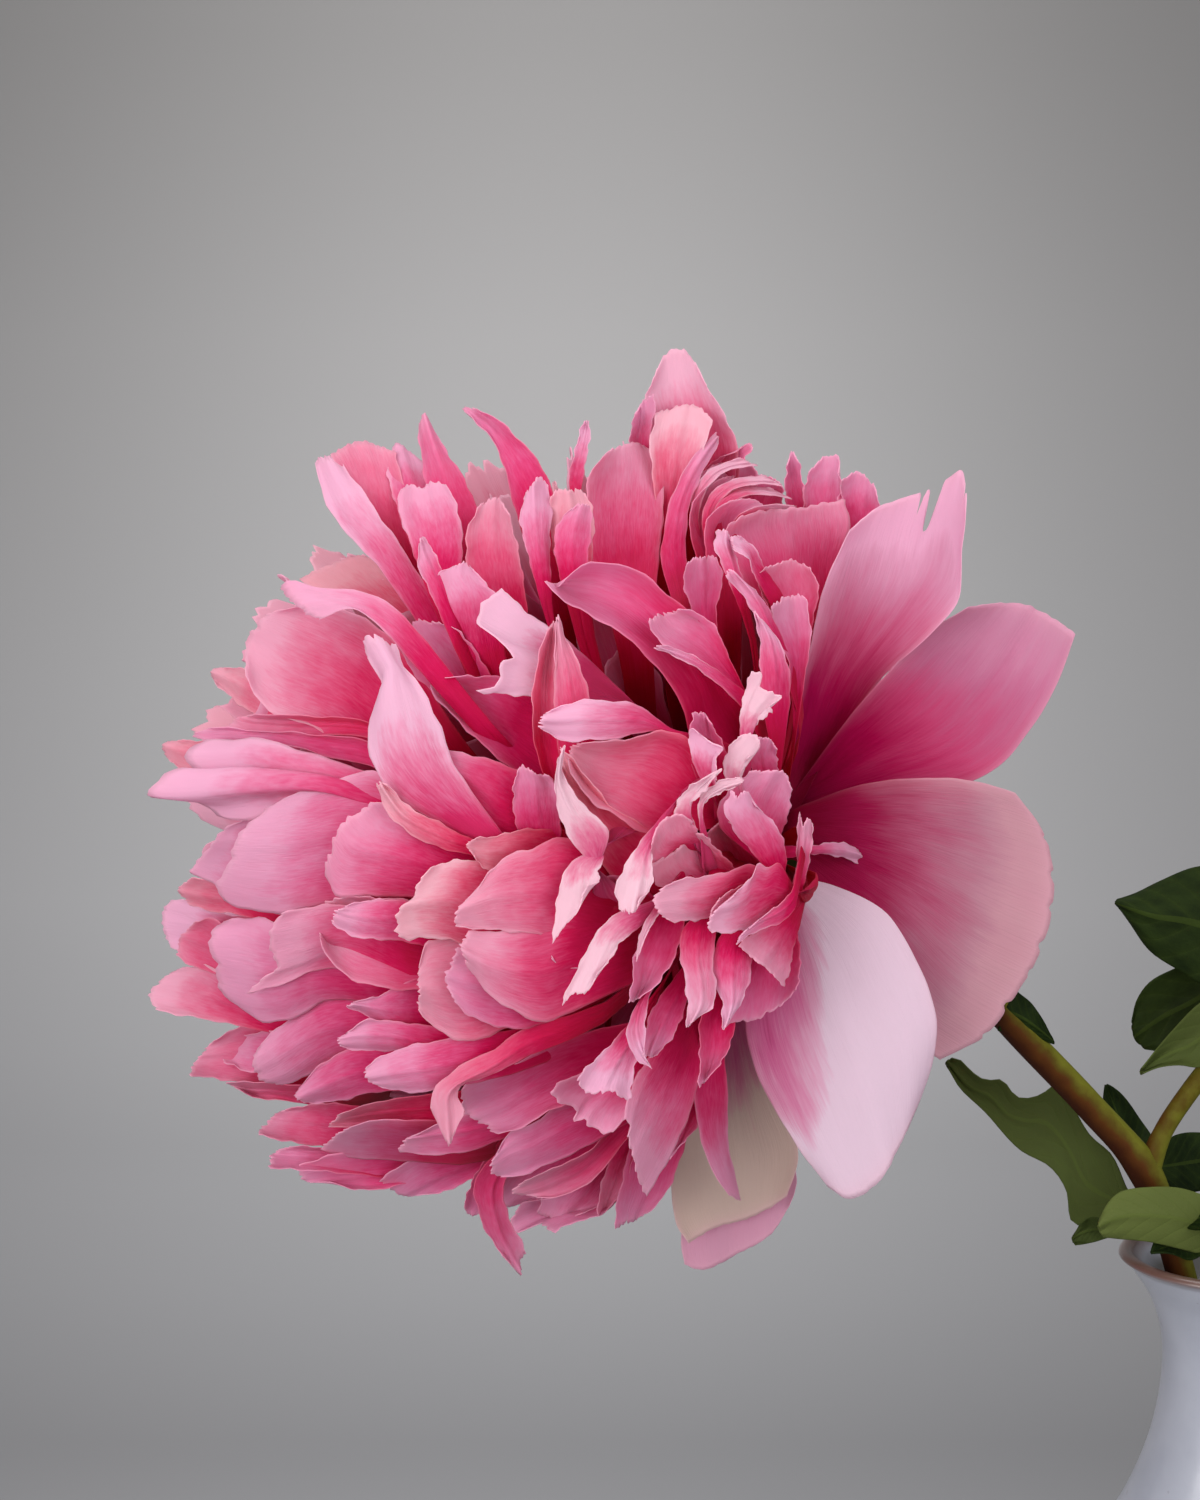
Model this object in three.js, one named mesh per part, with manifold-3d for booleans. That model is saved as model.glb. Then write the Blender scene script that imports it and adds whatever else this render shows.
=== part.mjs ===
// A peony in a bud vase: one double bloom that leans out of a small glazed vase on its own stem.
// Millimetres, +Z up. The origin is the middle of the vase's foot, on the table; the bloom leans to -X.
import * as THREE from "three";
import { mergeVertices } from "three/addons/utils/BufferGeometryUtils.js";
import Module from "manifold-3d";

const wasm = await Module();
wasm.setup();

// ---- Driving dimensions ----
const VASE_HEIGHT = 160;
const VASE_WALL = 3;
const FOOT_RADIUS = 27;
const BODY_RADIUS = 37;
const BODY_LEVEL = 55; // height of the widest place
const NECK_RADIUS = 14;
const NECK_LEVEL = 140;
const MOUTH_RADIUS = 23;
const FLOOR_THICKNESS = 6;
const WATER_LEVEL = 105;
const STEM_RADIUS = 3;
const SIDE_STALK_RADIUS = 1.9;
const GAP = 0.3; // between pieces that touch
const PETAL_THICKNESS = 0.8;
const LEAF_THICKNESS = 0.8;
const BALL_RADIUS = 80; // the ball of inner petals
const CORE_LENGTH = 64; // the receptacle that the petals grow from
const CORE_RADIUS = 11;
const HIDDEN_PETALS = 44; // on the side of the ball that the front list doesn't cover

// ---- Places ----
const BASE = new THREE.Vector3(-88, 0.5, 240); // where the bloom sits on its stem
const BALL = new THREE.Vector3(-138.5, 21, 243.5); // middle of the ball of petals
const FRONT = new THREE.Vector3(-127, -488, 308); // where the front list's petals are seen from
const AXIS = BALL.clone().sub(BASE).normalize();
const UPWARD = new THREE.Vector3(0, 0, 1).addScaledVector(AXIS, -AXIS.z).normalize();
const FORWARD = new THREE.Vector3().crossVectors(UPWARD, AXIS);

const HUB_BACK = 2; // the petals' hub reaches this far behind the bloom's base
const CALYX_DEPTH = 4;
const behindBase = (distance) => BASE.clone().addScaledVector(AXIS, -distance).toArray();
const STEM_TOP = HUB_BACK + CALYX_DEPTH + 2.5 * GAP;
const STEM_ROUTE = [
  [8, 0, FLOOR_THICKNESS + GAP + 0.4], [0.2, 0, 75], [-7.6, 0, 140], [-12.2, 0, 160], [-18.9, 0, 177],
  [-30, -1, 190], [-45.6, -4, 206.5], [-58, -8, 221], [-68, -8, 233],
  behindBase(STEM_TOP + 6), behindBase(STEM_TOP),
];
const SIDE_STALK_ROUTE = [[-18.4, 0, 175], [-15, 1, 184], [-9, 2, 193], [-1, 3, 203], [6, 4, 213]];

// Inner petals on the front, by where the tip is seen from the front: mm to the right of and above the ball's
// middle, mm that it stands out of the ball, blade width, cup in degrees, how far the face turns to the front
// (0 to 1), and how blunt the tip is (0 pointed, 1 round).
const FRONT_PETALS = [
  // the tall ones on top, then the two spikes and the pale tips of the upper left
  [28, 98, 8, 20, 40, 0.7, 0.5], [36, 81, 0, 10, 60, 0.5, 0.3], [17, 78, 10, 16, 40, 0.9, 0.8],
  [8, 83, 6, 5, 60, 0.5, 0.2], [4, 69, 3, 10, 50, 0.8, 0.7], [-1, 71, 2, 8, 60, 0.7, 0.7],
  [-47, 75, 0, 20, 40, 0.6, 0.6], [-25, 84, 0, 9, 50, 0.5, 0.2], [-16, 86, 4, 9, 50, 0.5, 0.2],
  [-24, 71, 0, 14, 40, 0.8, 0.9], [-12, 68, 0, 10, 50, 0.8, 0.8], [-17, 54, 0, 12, 50, 0.7, 0.7],
  [-11, 48, 4, 14, 40, 0.8, 0.7], [-50, 50, 2, 25, 30, 0.4, 0.9], [-61, 36, 0, 22, 60, 0.7, 0.9],
  [-37, 39, 4, 14, 50, 0.6, 0.3], [-23, 29, 0, 16, 50, 0.7, 0.6], [2, 42, 6, 13, 90, 0.6, 0.2],
  [-25, 15, 0, 16, 50, 0.7, 0.5], [-81, 7, 0, 18, 40, 0.6, 0.5], [-68, 18, 0, 16, 40, 0.6, 0.8],
  [-68, 31, 0, 12, 40, 0.6, 0.5],
  // the upper right, over the dark hollow
  [2, 49, 4, 27, 70, 0.3, 0.7], [22, 42, 2, 12, 70, 0.4, 0.6], [40, 72, 0, 12, 80, 0.5, 0.8],
  [50, 66, 0, 20, 40, 0.6, 0.8], [60, 75, 0, 12, 40, 0.5, 0.6], [51, 76, 0, 10, 40, 0.5, 0.5],
  [68, 68, 0, 12, 40, 0.5, 0.5], [51, 47, 2, 9, 50, 0.6, 0.8], [43, 44, 4, 8, 60, 0.6, 0.3],
  // the broad lobes of the left
  [-18, -31, 2, 21, 40, 0.7, 0.9], [-18, -12, 0, 18, 40, 0.7, 0.9], [-30, -19, 2, 12, 40, 0.7, 0.6],
  [-26, -36, 0, 18, 50, 0.7, 0.9], [-34, 8, 4, 8, 60, 0.5, 0.3], [-45, -5, 0, 19, 40, 0.7, 0.8],
  [-46, -24, 0, 18, 40, 0.7, 0.9], [-59, -31, 0, 14, 40, 0.7, 0.4], [-69, -31, 0, 21, 40, 0.7, 0.9],
  [-67, -7, 0, 23, 40, 0.7, 0.9], [-76, -12, 0, 14, 40, 0.7, 0.7], [-59, -46, 0, 16, 40, 0.6, 0.8],
  [-81, -36, 0, 18, 50, 0.6, 0.6], [-73, -51, 0, 18, 50, 0.6, 0.8],
  // the skirt of the lower edge
  [-40, -38, 2, 10, 50, 0.6, 0.5], [-42, -51, 0, 14, 50, 0.6, 0.8], [-57, -69, 0, 14, 50, 0.6, 0.7],
  [-22, -61, 4, 15, 60, 0.6, 0.6], [-33, -77, 0, 16, 50, 0.6, 0.8], [-22, -76, 0, 14, 50, 0.6, 0.8],
  [-11, -71, 2, 10, 50, 0.6, 0.5], [-1, -81, 0, 12, 50, 0.6, 0.6], [11, -82, 0, 12, 50, 0.6, 0.5],
  [-5, -92, 4, 7, 70, 0.6, 0.2], [9, -63, 0, 16, 40, 0.7, 0.8], [21, -76, 2, 12, 50, 0.7, 0.3],
  [39, -77, 4, 8, 60, 0.7, 0.3],
  // the curled small ones of the middle
  [0, 21, 6, 14, 60, 0.6, 0.5], [6, 13, 2, 23, 50, 0.8, 0.9], [11, -5, 8, 10, 60, 0.4, 0.5],
  [2, -26, 6, 10, 60, 0.5, 0.4], [6, -34, 8, 10, 60, 0.5, 0.4], [23, -11, 4, 14, 60, 0.6, 0.8],
  [44, 11, 2, 11, 60, 0.6, 0.8], [39, 6, 4, 12, 60, 0.6, 0.7], [24, -16, 4, 10, 60, 0.6, 0.5],
  [35, -21, 6, 12, 60, 0.6, 0.5], [49, -33, 4, 10, 60, 0.6, 0.4], [29, -41, 6, 8, 60, 0.6, 0.4],
  [22, -50, 4, 9, 60, 0.6, 0.5], [11, -56, 4, 12, 40, 0.7, 0.8],
];

// The broad guard petals of the collar: tip from the bloom's base in mm (X, Y, Z), blade width, how far the blade
// bulges to its inner side, cup in degrees, sideways sway, and how blunt the tip is.
const GUARD_PETALS = [
  { tip: [22, -18, 71], width: 34, bulge: 10, cup: 25, sway: 3, blunt: 0.7 },
  { tip: [50, -16, 45], width: 33, bulge: 12, cup: 20, sway: -5, blunt: 0.6 },
  { tip: [46, -16, -14], width: 50, bulge: 14, cup: 20, sway: 5, blunt: 0.9 },
  { tip: [9, -22, -66], width: 40, bulge: 16, cup: -20, sway: -6, blunt: 0.7 },
  { tip: [-14, -2, -78], width: 26, bulge: 8, cup: 20, sway: 0, blunt: 0.7 },
  { tip: [22, 34, 62], width: 42, bulge: 12, cup: 20, sway: 0, blunt: 0.8 },
  { tip: [40, 52, 22], width: 46, bulge: 12, cup: 20, sway: 0, blunt: 0.8 },
  { tip: [38, 54, -26], width: 46, bulge: 12, cup: 20, sway: 0, blunt: 0.8 },
  { tip: [16, 36, -62], width: 42, bulge: 12, cup: 20, sway: 0, blunt: 0.8 },
];

// ---- Solids ----
function solidFromGeometry(geometry) {
  const bare = geometry.clone();
  bare.deleteAttribute("normal");
  bare.deleteAttribute("uv");
  const merged = mergeVertices(bare, 1e-4);
  return new wasm.Manifold(new wasm.Mesh({
    numProp: 3,
    vertProperties: Float32Array.from(merged.attributes.position.array),
    triVerts: Uint32Array.from(merged.index.array),
  }));
}

function geometryFromSolid(solid) {
  const mesh = solid.getMesh();
  const geometry = new THREE.BufferGeometry();
  geometry.setAttribute("position", new THREE.BufferAttribute(mesh.vertProperties, 3));
  geometry.setIndex(new THREE.BufferAttribute(mesh.triVerts, 1));
  geometry.computeVertexNormals();
  return geometry;
}

// Fuses solids into one body: a hollow that the fusing seals is filled, and a loose scrap is dropped.
function joined(solids) {
  const shells = solids.reduce((whole, solid) => whole.add(solid)).decompose();
  return shells.sort((one, other) => other.volume() - one.volume())[0];
}

function lathe(profile, segments) {
  const geometry = new THREE.LatheGeometry(profile.map(([r, z]) => new THREE.Vector2(r, z)), segments);
  return geometry.rotateX(Math.PI / 2);
}

// A round rod along a smooth curve through the given points.
function rod(points, radius, sides, steps) {
  const section = new THREE.Shape();
  for (let side = 0; side < sides; side += 1) {
    const angle = (2 * Math.PI * side) / sides;
    const corner = [radius * Math.cos(angle), radius * Math.sin(angle)];
    if (side === 0) section.moveTo(...corner);
    else section.lineTo(...corner);
  }
  section.closePath();
  const path = new THREE.CatmullRomCurve3(points.map((point) => new THREE.Vector3(...point)));
  return new THREE.ExtrudeGeometry(section, { steps, extrudePath: path, bevelEnabled: false });
}

// A thin closed blade: a grid of columns across and rows along, with the same triangles on both faces.
// place(across, along) gives a point of the middle surface and the blade's normal there.
function blade(place, columns, rows, thickness) {
  const corners = [];
  for (const face of [0.5, -0.5]) {
    for (let row = 0; row <= rows; row += 1) {
      for (let column = 0; column <= columns; column += 1) {
        const { point, normal } = place((2 * column) / columns - 1, row / rows);
        corners.push(...point.addScaledVector(normal, face * thickness).toArray());
      }
    }
  }
  const wide = columns + 1;
  const back = wide * (rows + 1);
  const triangles = [];
  for (let row = 0; row < rows; row += 1) {
    for (let column = 0; column < columns; column += 1) {
      const a = row * wide + column;
      const [b, c, d] = [a + 1, a + wide + 1, a + wide];
      triangles.push(a, b, c, a, c, d);
      triangles.push(back + a, back + c, back + b, back + a, back + d, back + c);
    }
  }
  const rim = [];
  for (let column = 0; column < columns; column += 1) rim.push(column);
  for (let row = 0; row < rows; row += 1) rim.push(row * wide + columns);
  for (let column = columns; column > 0; column -= 1) rim.push(rows * wide + column);
  for (let row = rows; row > 0; row -= 1) rim.push(row * wide);
  rim.forEach((a, index) => {
    const b = rim[(index + 1) % rim.length];
    triangles.push(a, back + b, b, a, back + a, back + b);
  });
  return new wasm.Manifold(new wasm.Mesh({
    numProp: 3,
    vertProperties: Float32Array.from(corners),
    triVerts: Uint32Array.from(triangles),
  }));
}

// ---- Petals ----
const WIDEST = 0.62; // where along its length a petal is widest

// The middle surface of a petal from root to tip: narrow at the claw, cupped across, bowed along, curled at the tip.
function petalSurface({ root, tip, outer, width, bow, curl, cup, sway, blunt, claw }) {
  const length = root.distanceTo(tip);
  const along = tip.clone().sub(root).normalize();
  const normal = outer.clone().addScaledVector(along, -outer.dot(along)).normalize();
  const side = new THREE.Vector3().crossVectors(along, normal);
  const roundOff = (width / length) * (0.5 + 2 * (1 - blunt) ** 2);
  const power = 1.1 + 1.5 * blunt;
  const tipWidth = 0.75 + 0.2 * blunt;
  return (across, step) => {
    const t = 1 - (1 - step) ** 1.4;
    const reach = t * (1 - t * t * roundOff * Math.abs(across) ** power);
    const swell = Math.sin((Math.PI / 2) * Math.min(1, t / WIDEST)) ** 1.15;
    const taper = Math.max(0, (t - WIDEST) / (1 - WIDEST)) ** 2;
    const half = (width / 2) * (claw + (1 - claw) * swell) * (1 - (1 - tipWidth) * taper);
    const bend = THREE.MathUtils.degToRad(cup) * (0.625 - 0.25 * t);
    const turn = across * bend;
    const point = root.clone()
      .addScaledVector(along, length * reach)
      .addScaledVector(normal, bow * Math.sin(Math.PI * reach) + curl * (reach ** 4 - reach))
      .addScaledVector(side, sway * Math.sin(Math.PI * reach) + (half * Math.sin(turn)) / bend)
      .addScaledVector(normal, (-half * (1 - Math.cos(turn))) / bend);
    const facing = normal.clone().multiplyScalar(Math.cos(turn)).addScaledVector(side, Math.sin(turn));
    return { point, normal: facing };
  };
}

// How a point lies to the bloom: its angle from the axis, and the unit vector straight out from the axis to it.
function bearing(point) {
  const offset = point.clone().sub(BASE);
  const height = offset.dot(AXIS);
  const outward = offset.clone().addScaledVector(AXIS, -height).normalize();
  return { cosine: height / offset.length(), sine: Math.sqrt(1 - (height / offset.length()) ** 2), outward };
}

function ballPetal(tip, { width, cup, face, blunt, bow = 6, curl = 3 }) {
  const { cosine, sine, outward } = bearing(tip);
  const rootHeight = 5 + 0.88 * CORE_LENGTH * Math.max(0, cosine);
  const root = BASE.clone().addScaledVector(AXIS, rootHeight).addScaledVector(outward, CORE_RADIUS * 0.45);
  const outer = outward.clone().multiplyScalar(cosine).addScaledVector(AXIS, -sine);
  const view = FRONT.clone().sub(tip).normalize();
  const turned = outer.clone().multiplyScalar(1 - face).addScaledVector(view, face * Math.sign(outer.dot(view)));
  const surface = petalSurface({ root, tip, outer: turned, width, bow, curl, cup, sway: 0, blunt, claw: 0.3 });
  return blade(surface, width < 20 ? 2 : 3, width < 15 ? 3 : 4, PETAL_THICKNESS);
}

// Where the line of sight through a place in the ball's middle plane meets the ball, or passes it most closely.
function seenOnBall(right, up, out) {
  const line = new THREE.Vector3(right, 0, up).add(BALL).sub(FRONT).normalize();
  const toBall = BALL.clone().sub(FRONT);
  const nearest = toBall.dot(line);
  const radius = BALL_RADIUS + out;
  const half = Math.sqrt(Math.max(0, radius ** 2 - toBall.lengthSq() + nearest ** 2));
  return FRONT.clone().addScaledVector(line, nearest - half);
}

function frontPetals() {
  return FRONT_PETALS.map(([right, up, out, width, cup, face, blunt]) => (
    ballPetal(seenOnBall(right, up, out), { width, cup, face, blunt })
  ));
}

// A repeatable stand-in for chance, from 0 to 1.
function seeded(index) {
  const value = Math.sin(index * 12.9898 + 4.1) * 43758.5453;
  return value - Math.floor(value);
}

// The petals that the front list leaves out stand on the far side of the ball in a sunflower's spiral.
function hiddenPetals() {
  const goldenAngle = Math.PI * (3 - Math.sqrt(5));
  const petals = [];
  for (let index = 0; index < HIDDEN_PETALS; index += 1) {
    const cosine = 1 - (1.62 * (index + 0.5)) / HIDDEN_PETALS;
    const sine = Math.sqrt(1 - cosine ** 2);
    const angle = index * goldenAngle;
    const direction = AXIS.clone().multiplyScalar(cosine)
      .addScaledVector(UPWARD, sine * Math.sin(angle))
      .addScaledVector(FORWARD, sine * Math.cos(angle));
    if (direction.y < 0.05) continue;
    const tip = BALL.clone().addScaledVector(direction, BALL_RADIUS * (0.95 + 0.1 * seeded(index)));
    const width = 17 + 7 * seeded(index + 100);
    petals.push(ballPetal(tip, { width, cup: 45, face: 0, blunt: 0.5 + 0.4 * seeded(index + 200) }));
  }
  return petals;
}

function guardPetals() {
  return GUARD_PETALS.map(({ tip, width, bulge, cup, sway, blunt }) => {
    const end = new THREE.Vector3(...tip).add(BASE);
    const behind = end.y > BASE.y;
    const root = BASE.clone().addScaledVector(AXIS, 4)
      .addScaledVector(bearing(end).outward, 3).addScaledVector(FORWARD, behind ? -7 : 7);
    const inner = behind ? new THREE.Vector3(-0.6, 0.75, 0) : FRONT.clone().sub(end).normalize();
    const outer = inner.negate();
    const shape = { root, tip: end, outer, width, bow: -bulge, curl: 3, cup, sway, blunt, claw: 0.35 };
    return blade(petalSurface(shape), 4, 4, PETAL_THICKNESS);
  });
}

// The receptacle: a slim egg round the axis, flat behind, that every petal is rooted in.
function receptacle() {
  const profile = [
    [0, -HUB_BACK], [7, -HUB_BACK], [9, 1], [CORE_RADIUS, 12], [CORE_RADIUS, 30], [8, 50], [0, CORE_LENGTH],
  ];
  const geometry = new THREE.LatheGeometry(profile.map(([r, h]) => new THREE.Vector2(r, h)), 12);
  geometry.applyQuaternion(new THREE.Quaternion().setFromUnitVectors(new THREE.Vector3(0, 1, 0), AXIS));
  return solidFromGeometry(geometry.translate(BASE.x, BASE.y, BASE.z));
}

function bloom() {
  return joined([receptacle(), ...guardPetals(), ...frontPetals(), ...hiddenPetals()]);
}

// ---- Calyx: a small disc behind the petals, with five sepals bent back along the stem ----
function calyx() {
  const near = -(HUB_BACK + GAP);
  const profile = [[0, near - CALYX_DEPTH], [3.8, near - CALYX_DEPTH], [4.7, near - 1.5], [4.4, near], [0, near]];
  const geometry = new THREE.LatheGeometry(profile.map(([r, h]) => new THREE.Vector2(r, h)), 14);
  geometry.applyQuaternion(new THREE.Quaternion().setFromUnitVectors(new THREE.Vector3(0, 1, 0), AXIS));
  const disc = solidFromGeometry(geometry.translate(BASE.x, BASE.y, BASE.z));
  const sepals = [];
  for (let index = 0; index < 5; index += 1) {
    const angle = ((index + 0.5) * 2 * Math.PI) / 5;
    const outward = UPWARD.clone().multiplyScalar(Math.sin(angle)).addScaledVector(FORWARD, Math.cos(angle));
    const root = BASE.clone().addScaledVector(AXIS, -4.4).addScaledVector(outward, 4.4);
    const tip = BASE.clone().addScaledVector(AXIS, -20 - 3 * (index % 2)).addScaledVector(outward, 10.5);
    const shape = { root, tip, outer: AXIS, width: 9, bow: 1, curl: 2, cup: 50, sway: 0, blunt: 0.4, claw: 0.6 };
    sepals.push(blade(petalSurface(shape), 2, 4, PETAL_THICKNESS));
  }
  return joined([disc, ...sepals]);
}

// ---- Vase and water ----
const VASE_OUTLINE = new THREE.CatmullRomCurve3([
  [FOOT_RADIUS, 0], [33.5, 18], [BODY_RADIUS, BODY_LEVEL], [34.5, 77], [28.5, 95], [20.8, 109], [15.6, 124],
  [NECK_RADIUS, NECK_LEVEL], [16.4, 150], [MOUTH_RADIUS, VASE_HEIGHT],
].map(([radius, height]) => new THREE.Vector3(radius, height, 0)), false, "centripetal");
const OUTLINE_STEPS = 13;

function outlineBetween(low, high, inset) {
  const points = VASE_OUTLINE.getPoints(OUTLINE_STEPS).map((point) => [point.x - inset, point.y]);
  return points.filter(([, height]) => height > low && height < high);
}

function vase() {
  const outside = outlineBetween(2, VASE_HEIGHT - 1, 0);
  const inside = outlineBetween(FLOOR_THICKNESS + 6, VASE_HEIGHT - 1, VASE_WALL).reverse();
  const lip = [
    [MOUTH_RADIUS, VASE_HEIGHT - 1], [MOUTH_RADIUS - 0.6, VASE_HEIGHT], [MOUTH_RADIUS - 1.9, VASE_HEIGHT],
    [MOUTH_RADIUS - VASE_WALL, VASE_HEIGHT - 1],
  ];
  const foot = [[0, 0], [FOOT_RADIUS - 1.5, 0], [FOOT_RADIUS + 0.4, 2]];
  const floor = [[FOOT_RADIUS + 1, FLOOR_THICKNESS + 3], [FOOT_RADIUS - 3, FLOOR_THICKNESS], [0, FLOOR_THICKNESS]];
  return lathe([...foot, ...outside, ...lip, ...inside, ...floor], 32);
}

function water() {
  const inset = VASE_WALL + GAP;
  const side = outlineBetween(FLOOR_THICKNESS + 6, WATER_LEVEL - 4, inset);
  const top = side[side.length - 1];
  const surfaceRadius = VASE_OUTLINE.getPoints(200).find((point) => point.y > WATER_LEVEL).x - inset - 0.4;
  const profile = [
    [0, FLOOR_THICKNESS + GAP], [FOOT_RADIUS - 3 - GAP, FLOOR_THICKNESS + GAP],
    [FOOT_RADIUS + 1 - 2 * GAP, FLOOR_THICKNESS + 3 + GAP], ...side,
    [Math.min(surfaceRadius, top[0]), WATER_LEVEL], [0, WATER_LEVEL],
  ];
  const [[endX, endY, endZ], ...rest] = STEM_ROUTE;
  const hole = rod([[endX, endY, endZ - 2], ...rest], STEM_RADIUS + 2 * GAP, 10, 34);
  return geometryFromSolid(solidFromGeometry(lathe(profile, 28)).subtract(solidFromGeometry(hole)));
}

// ---- Stem, forking above the rim into the flower's stalk and a thinner leaf stalk ----
function stem() {
  const main = solidFromGeometry(rod(STEM_ROUTE, STEM_RADIUS, 8, 34));
  const side = solidFromGeometry(rod(SIDE_STALK_ROUTE, SIDE_STALK_RADIUS, 6, 8));
  return geometryFromSolid(joined([main, side]));
}

// ---- Leaves ----
// A leaf blade folded along its midrib, pointed at the tip; lobes swell its edge and waves lift it.
function leaflet({ root, tip, up, width, fold = 0.25, droop = 4, wave = 0.8, lobes = 0, rows = 7 }) {
  const start = new THREE.Vector3(...root);
  const end = new THREE.Vector3(...tip);
  const length = start.distanceTo(end);
  const along = end.clone().sub(start).normalize();
  const face = new THREE.Vector3(...up);
  face.addScaledVector(along, -face.dot(along)).normalize();
  const side = new THREE.Vector3().crossVectors(along, face);
  return blade((across, t) => {
    const lobe = 1 + lobes * Math.sin(t * 4.2 * Math.PI + (across > 0 ? 1.4 : 0));
    const half = (width / 2) * (0.06 + 0.94 * Math.sin(Math.PI * t ** 0.8) ** 0.8) * lobe * (t < 1 ? 1 : 0.3);
    const lift = fold * half * Math.abs(across) + droop * Math.sin(Math.PI * t)
      + wave * Math.abs(across) * Math.sin(t * 9);
    const point = start.clone()
      .addScaledVector(along, length * t)
      .addScaledVector(side, half * across)
      .addScaledVector(face, lift);
    return { point, normal: face.clone() };
  }, 2, rows, LEAF_THICKNESS);
}

const LEAVES = {
  bract_leaf: [
    { root: [-40.5, -3.6, 206.7], tip: [-49, -6, 222], up: [0.3, -0.9, 0.3], width: 9, droop: 1 },
  ],
  lobed_leaf: [
    { root: [-15.5, 4.2, 167], tip: [-55, 23, 193], up: [0.4, -0.5, 0.75], width: 17, lobes: 0.22, rows: 10 },
  ],
  front_leaf: [
    { root: [-9, -6, 167], tip: [-35, -14, 166], up: [0, -0.5, 0.85], width: 16 },
    { root: [-14, -7, 167], tip: [18, -15, 172], up: [0, -0.5, 0.85], width: 16 },
    { root: [-12.6, -3.6, 165.4], tip: [-10, -12, 168.5], up: [0, 0.4, 0.9], width: 6, rows: 4 },
  ],
  fork_leaf: [
    { root: [-17, 4, 176], tip: [-24, 13, 191], up: [0.2, -0.9, 0.2], width: 9, droop: -2, fold: 0.1 },
    { root: [-17, 4, 176], tip: [8, 14, 177], up: [0, -0.9, 0.3], width: 12, droop: -2, fold: 0.1 },
  ],
  mouth_leaf: [
    { root: [-9, -0.8, 162], tip: [15, -9, 163.6], up: [0, -0.2, 1], width: 10, droop: 1.5 },
  ],
  side_leaf: [
    { root: [6.6, 4.2, 214], tip: [4, 6, 246], up: [-0.5, -0.8, 0], width: 3, fold: 0.5, droop: 0, wave: 0 },
    { root: [6, 5, 232], tip: [-23.6, 2, 230], up: [0.1, -0.5, 0.9], width: 17 },
    { root: [5, 5, 240], tip: [8, 12, 276], up: [-0.3, -0.9, 0.2], width: 19 },
    { root: [4, 5, 234], tip: [38, 8, 244], up: [0, -0.6, 0.8], width: 17 },
    { root: [7, 5, 219], tip: [-20, 9, 206], up: [0.2, -0.8, 0.5], width: 14 },
    { root: [7, 4, 217], tip: [-18.8, -1, 196], up: [-0.5, -0.3, 0.8], width: 12 },
    { root: [5, 5, 220], tip: [34, 10, 212], up: [0, -0.5, 0.85], width: 15 },
  ],
};

// ---- Assembly ----
const MATERIALS = {
  glaze: new THREE.MeshStandardMaterial({ color: 0xb9bfcc, roughness: 0.25, metalness: 0 }),
  water: new THREE.MeshStandardMaterial({ color: 0xd6e2e6, roughness: 0.05, metalness: 0 }),
  bark: new THREE.MeshStandardMaterial({ color: 0x7a4a26, roughness: 0.6, metalness: 0 }),
  sepal: new THREE.MeshStandardMaterial({ color: 0x5c7034, roughness: 0.6, metalness: 0 }),
  petal: new THREE.MeshStandardMaterial({ color: 0xe27fa0, roughness: 0.55, metalness: 0 }),
  leaf: new THREE.MeshStandardMaterial({ color: 0x3f5a2a, roughness: 0.5, metalness: 0 }),
};

const peony = new THREE.Group();

function place(name, geometry, material) {
  const mesh = new THREE.Mesh(geometry, MATERIALS[material]);
  mesh.name = name;
  peony.add(mesh);
}

place("vase", vase(), "glaze");
place("water", water(), "water");
place("stem", stem(), "bark");
place("calyx", geometryFromSolid(calyx()), "sepal");
place("petals", geometryFromSolid(bloom()), "petal");
for (const [name, leaflets] of Object.entries(LEAVES)) {
  place(name, geometryFromSolid(joined(leaflets.map(leaflet))), "leaf");
}

export default peony;
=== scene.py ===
"""A peony in a bud vase: the looks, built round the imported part. Metres, +Z up, as the part's own frame.

Petals, leaves and the vase are worked out in millimetres, as in the part's source, and scaled at the end.
Colours are linear red, green and blue.
"""
import math

import bpy
import numpy as np
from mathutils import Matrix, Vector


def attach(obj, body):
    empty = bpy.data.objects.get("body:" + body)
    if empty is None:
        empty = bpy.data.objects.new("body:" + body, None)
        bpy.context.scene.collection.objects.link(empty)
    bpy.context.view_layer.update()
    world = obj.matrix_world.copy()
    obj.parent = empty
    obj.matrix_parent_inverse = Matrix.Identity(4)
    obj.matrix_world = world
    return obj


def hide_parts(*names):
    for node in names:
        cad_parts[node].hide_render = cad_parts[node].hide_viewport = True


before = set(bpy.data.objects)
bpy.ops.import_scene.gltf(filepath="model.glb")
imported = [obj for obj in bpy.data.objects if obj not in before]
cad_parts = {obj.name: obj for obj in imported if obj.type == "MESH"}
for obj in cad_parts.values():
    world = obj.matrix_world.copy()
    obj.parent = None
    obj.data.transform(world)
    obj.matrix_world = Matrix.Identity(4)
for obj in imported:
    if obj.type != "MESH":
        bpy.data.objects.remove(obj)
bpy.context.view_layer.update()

MM = 0.001
FULL_TURN = 2 * math.pi

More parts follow.
